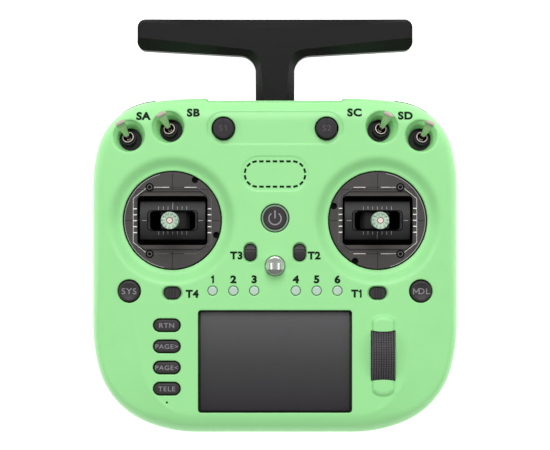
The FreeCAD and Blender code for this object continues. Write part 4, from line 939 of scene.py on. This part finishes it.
def gimbal_marks():
    """Ticks and fine lines on the two stick surrounds, painted shade in their grooves and screw holes, and a
    painted highlight along part of each plate's edge; the left set is turned by 180 degrees.
    """
    for (cx, cy), word, side in ((GIMBALS[0], "left", -1), (GIMBALS[1], "right", 1)):
        top = box_mm("gimbal_bezel_" + word)[1][2]
        white, faint, dark = [], [], []

        def at(x, y):
            return cx + side * x, cy + side * y

        for k in range(-2, 3):
            for end, reach in ((1, 1.8), (-1, 1.9)):
                x, y = at(end * (18.1 + reach / 2), 3.05 * k + 0.1)
                white.append(bar(x, y, top, reach, 0.52))
        for end, store in ((1, white), (-1, faint)):
            for a, b in FRAME_LINES:
                store.append(line(at(end * a[0], a[1]), at(end * b[0], b[1]), top, 0.2))
        for y, store in ((17.0, white), (-17.0, white if side > 0 else faint)):
            for a, b in ((-12.4, -6.2), (1.6, 5.6), (5.6, 9.4)):
                store.append(line(at(a, side * y), at(b, side * y), top, 0.26 if b < 9 else 0.18))
            dark.append(line(at(-6.2, y), at(1.6, y), top, 0.2))
        for a, b in GROOVES:
            dark.append(line(at(*a), at(*b), top, 0.26))
        # painted highlight: a pale arc along the outer half of each plate's edge
        start = -75 if side > 0 else 105
        arc = annulus(cx, cy, top, 24.25, 24.5, start=start, stop=start + 155, count=60)
        joined([arc], "bezel_rim_light_" + word, "radio_body", "tick_ink_and_rim_highlight")
        # painted shade: near-black discs sunk in the tension screw holes stand for the screw heads in shade
        hole_shades = [annulus(*at(x, y), top - 1.8, 0.0, 1.66, count=32) for x, y in TENSION_SCREWS]
        joined(hole_shades, "tension_screw_shade_" + word, "radio_body", "painted_shade")
        joined(white, "bezel_lines_" + word, "radio_body", "white_ink")
        joined(faint, "bezel_faint_lines_" + word, "radio_body", "faint_ink")
        joined(dark, "bezel_grooves_" + word, "radio_body", "groove")
        screw_rings(at, top, word)
        barrel_marks(cx, cy, word, side)


def screw_rings(at, top, word):
    """Painted shade in the recess round each of the two screw heads of a surround and in each head's middle,
    with a paler ring for the head's face.
    """
    dark, pale = [], []
    head = max(top, box_mm("bezel_screws")[1][2]) + 0.03
    for y in (17.1, -17.1):
        place = at(11.6, y)
        dark.append(annulus(*place, head, 1.4, 2.1, count=32))
        dark.append(annulus(*place, head, 0.0, 0.9, count=32))
        pale.append(annulus(*place, head, 0.95, 1.3, count=32))
    joined(dark, "screw_recess_shade_" + word, "radio_body", "painted_shade")
    joined(pale, "screw_face_" + word, "radio_body", "faint_ink")


def barrel_marks(cx, cy, word, side):
    """Scale printed round the stick's slot on the barrel, and painted shade along the lip of the slot's
    recess.
    """
    node = "gimbal_yoke_" + word
    ticks = []
    for row in (-1, 1):
        for k in range(-3, 4):
            length = 3.9 if k == 0 and row == -side else 1.7
            ticks.append(bar(cx + 2.4 * k, cy + row * (5.55 + length / 2), 0, length, 0.2, 90))
    for end in (-1, 1):
        ticks.append(bar(cx + end * 14.5, cy, 0, 2.3, 0.24))
    ticks = [on_node(tick, node) for tick in ticks]
    joined(ticks, "barrel_ticks_" + word, "yoke_" + word, "tick_ink_and_rim_highlight")
    # painted shade: dark bands where the slot's recess steps down
    lip_shades = [band(Rounded(cx, cy, 26.1, 10.7, 2.1), Rounded(cx, cy, 25.2, 9.9, 1.7), 0.02, 1.0),
            band(Rounded(cx, cy, 23.4, 9.9, 1.8), Rounded(cx, cy, 22.6, 9.4, 1.6), 0.02, 1.0)]
    lip_shades = [on_node(lip, node) for lip in lip_shades]
    joined(lip_shades, "slot_lip_shade_" + word, "yoke_" + word, "painted_shade")


def toggle_axis(side, degrees):
    """Way out along a switch of one side that leans away from the middle."""
    tilt = math.radians(degrees)
    x, y = np.array(TOGGLE_LEAN) / math.hypot(*TOGGLE_LEAN) * math.sin(tilt)
    return Vector((side * x, y, math.cos(tilt)))


def torus(radius, tube, count=40, sides=10):
    """Ring of round section about the upright axis."""
    bm = bmesh.new()
    hoops = []
    for i in range(count):
        a = 2 * math.pi * i / count
        hoop = []
        for j in range(sides):
            b = 2 * math.pi * j / sides
            r = radius + tube * math.cos(b)
            place = Vector((r * math.cos(a), r * math.sin(a), tube * math.sin(b)))
            hoop.append(bm.verts.new(place * MM))
        hoops.append(hoop)
    for here, there in zip(hoops, hoops[1:] + hoops[:1]):
        for j in range(sides):
            k = (j + 1) % sides
            bm.faces.new((here[j], there[j], there[k], here[k]))
    return bm


def toggle_rings():
    """Rolled rims of the four switch bushings, painted bright as the highlight on their chrome."""
    for name, (x, y) in BUSHINGS.items():
        for side, word in ((-1, "left"), (1, "right")):
            bm = torus(RIM_R, RIM_TUBE)
            turn = toggle_axis(side, BUSHING_TILT).to_track_quat("Z", "Y").to_matrix().to_4x4()
            place = Matrix.Translation(Vector((side * x, y, BUSHING_Z)) * MM) @ turn
            bmesh.ops.transform(bm, matrix=place, verts=bm.verts)
            obj = finished(bm, f"bushing_rim_{name}_{word}")
            paint(obj, "rim")
            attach(obj, "radio_body")


def stick_caps():
    """Set screw in the middle of each stick end, painted bright as a highlight, its copper-coloured washer,
    and the knurl in painted shade.
    """
    for word in ("left", "right"):
        x, y, _ = middle("stick_end_" + word)
        z = box_mm("stick_end_" + word)[1][2] - 1.2
        shade = annulus(x, y, z - 0.1, 1.25, 1.6, count=36, thick=0.5)
        face = [annulus(x, y, z, 0.45, 1.25, count=36, thick=0.6)]
        face.append(annulus(x, y, z - 0.2, 0.0, 0.5, count=6, thick=0.1))
        joined(face, "stick_screw_" + word, "stick_" + word, "pearl")
        joined([shade], "stick_washer_" + word, "stick_" + word, "copper")
        teeth = []
        for k in range(KNURL_TEETH):
            turn = 360 / KNURL_TEETH * (k + 0.5)
            a = math.radians(turn)
            tooth = bar(x + KNURL_R * math.cos(a), y + KNURL_R * math.sin(a), 0, 0.9, 0.2, turn)
            teeth.append(on_node(tooth, "stick_end_" + word, KNURL_LIFT))
        joined(teeth, "stick_knurl_" + word, "stick_" + word, "knurl")


def lever_tips():
    """Flat end faces of the four toggle levers, with a painted pinkish reflection laid over the chrome."""
    for node in ["toggle_lever_" + letter for letter in "abcd"]:
        mesh = NODES[node].data
        way = toggle_axis(1 if box_mm(node)[0][0] > 0 else -1, LEVER_TILT)
        top = max(v.co.dot(way) for v in mesh.vertices)
        parts = []
        for f in mesh.polygons:
            points = [mesh.vertices[i].co for i in f.vertices]
            if min(p.dot(way) for p in points) > top - LEVER_END * MM:
                lifted = [(p + f.normal * LEVER_LIFT * MM) / MM for p in points]
                parts.append(([tuple(p) for p in lifted], [tuple(range(len(lifted)))]))
        if parts:
            joined(parts, node + "_end", node, "lever_end_reflection")


# ---- light, floor and camera ----
def floor():
    """Pale floor just under the object."""
    bm = bmesh.new()
    span, count = 3.0, 8
    for i in range(count + 1):
        for j in range(count + 1):
            bm.verts.new((span * (i / count - 0.5), span * (j / count - 0.5), CAD_BOX[0][2] - 0.0002))
    bm.verts.ensure_lookup_table()
    for i in range(count):
        for j in range(count):
            a = i * (count + 1) + j
            bm.faces.new([bm.verts[k] for k in (a, a + count + 1, a + count + 2, a + 1)])
    obj = finished(bm, "floor")
    look = Look("pale_floor", (246, 246, 246), 0.9, vary=0.004, grain=30.0, bump=0.0)
    look.shader.inputs["Emission Color"].default_value = (1, 1, 1, 1)
    look.shader.inputs["Emission Strength"].default_value = 0.95
    obj.data.materials.append(look.material)


def area_light(name, place, size, power):
    """Round soft light aimed at the object."""
    data = bpy.data.lights.new(name, "AREA")
    data.shape, data.size, data.energy = "DISK", size, power
    obj = bpy.data.objects.new(name, data)
    obj.location = place
    obj.rotation_euler = (Vector((0, -0.02, 0.03)) - Vector(place)).to_track_quat("-Z", "Y").to_euler()
    bpy.context.collection.objects.link(obj)


def studio():
    """Large soft key from the top edge, two side boxes, and a pale surround that is dark round the camera."""
    world = bpy.data.worlds.new("studio")
    world.use_nodes = True
    tree = world.node_tree
    split = tree.nodes.new("ShaderNodeSeparateXYZ")
    tree.links.new(tree.nodes.new("ShaderNodeTexCoord").outputs["Generated"], split.inputs["Vector"])
    ramp = tree.nodes.new("ShaderNodeValToRGB")
    stops = ((0.0, 0.5), (0.85, 1.0), (0.95, 0.8), (0.99, 0.4))
    for element, (share, level) in zip(ramp.color_ramp.elements, (stops[0], stops[-1])):
        element.position, element.color = share, (level, level, level, 1)
    for share, level in stops[1:-1]:
        ramp.color_ramp.elements.new(share).color = (level, level, level, 1)
    tree.links.new(split.outputs["Z"], ramp.inputs["Fac"])
    background = tree.nodes["Background"]
    tree.links.new(ramp.outputs["Color"], background.inputs["Color"])
    background.inputs["Strength"].default_value = 0.32
    bpy.context.scene.world = world
    area_light("key", (0.0, 1.9, 2.8), 2.2, 82.0)
    area_light("left_box", (-1.5, -0.3, 1.3), 0.9, 4.2)
    area_light("right_box", (1.5, -0.3, 1.3), 0.9, 4.2)
    bpy.context.scene.view_settings.view_transform = "Standard"


def camera():
    """Camera straight above the front, far enough away for a nearly flat view."""
    data = bpy.data.cameras.new("camera")
    data.lens, data.sensor_width = 115.67, 36.0
    data.clip_start, data.clip_end = 0.05, 10.0
    obj = bpy.data.objects.new("camera", data)
    obj.location = (0.0, 0.0, 0.948)
    bpy.context.collection.objects.link(obj)
    bpy.context.scene.camera = obj


def screen_border():
    """Painted shade as a thin dark line in the gap between the screen's glass and the sleeve."""
    z = box_mm("screen_lens")[1][2] + 0.02
    edge = band(SCREEN.grown(0.3), SCREEN.grown(-0.5), z, 1.6)
    joined([edge], "screen_border", "radio_body", "border")


def sleeve():
    """Soft sleeve as the eye sees it, with real thickness, in place of the frame's plain one."""
    obj = sleeve_mesh()
    paint(obj, "silicone")
    obj.data.materials.append(LOOKS["well"].material)
    thick = obj.modifiers.new("thickness", "SOLIDIFY")
    thick.thickness, thick.offset, thick.use_rim = SKIN * MM, -1.0, True
    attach(obj, "radio_body")
    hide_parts("silicone_sleeve")


for node, obj in NODES.items():
    paint(obj, look_for(node))
sleeve()
legends()
plate_dashes()
key_legends()
power_icon()
gimbal_marks()
toggle_rings()
stick_caps()
lever_tips()
screen_border()
floor()
studio()
camera()
bpy.context.view_layer.update()
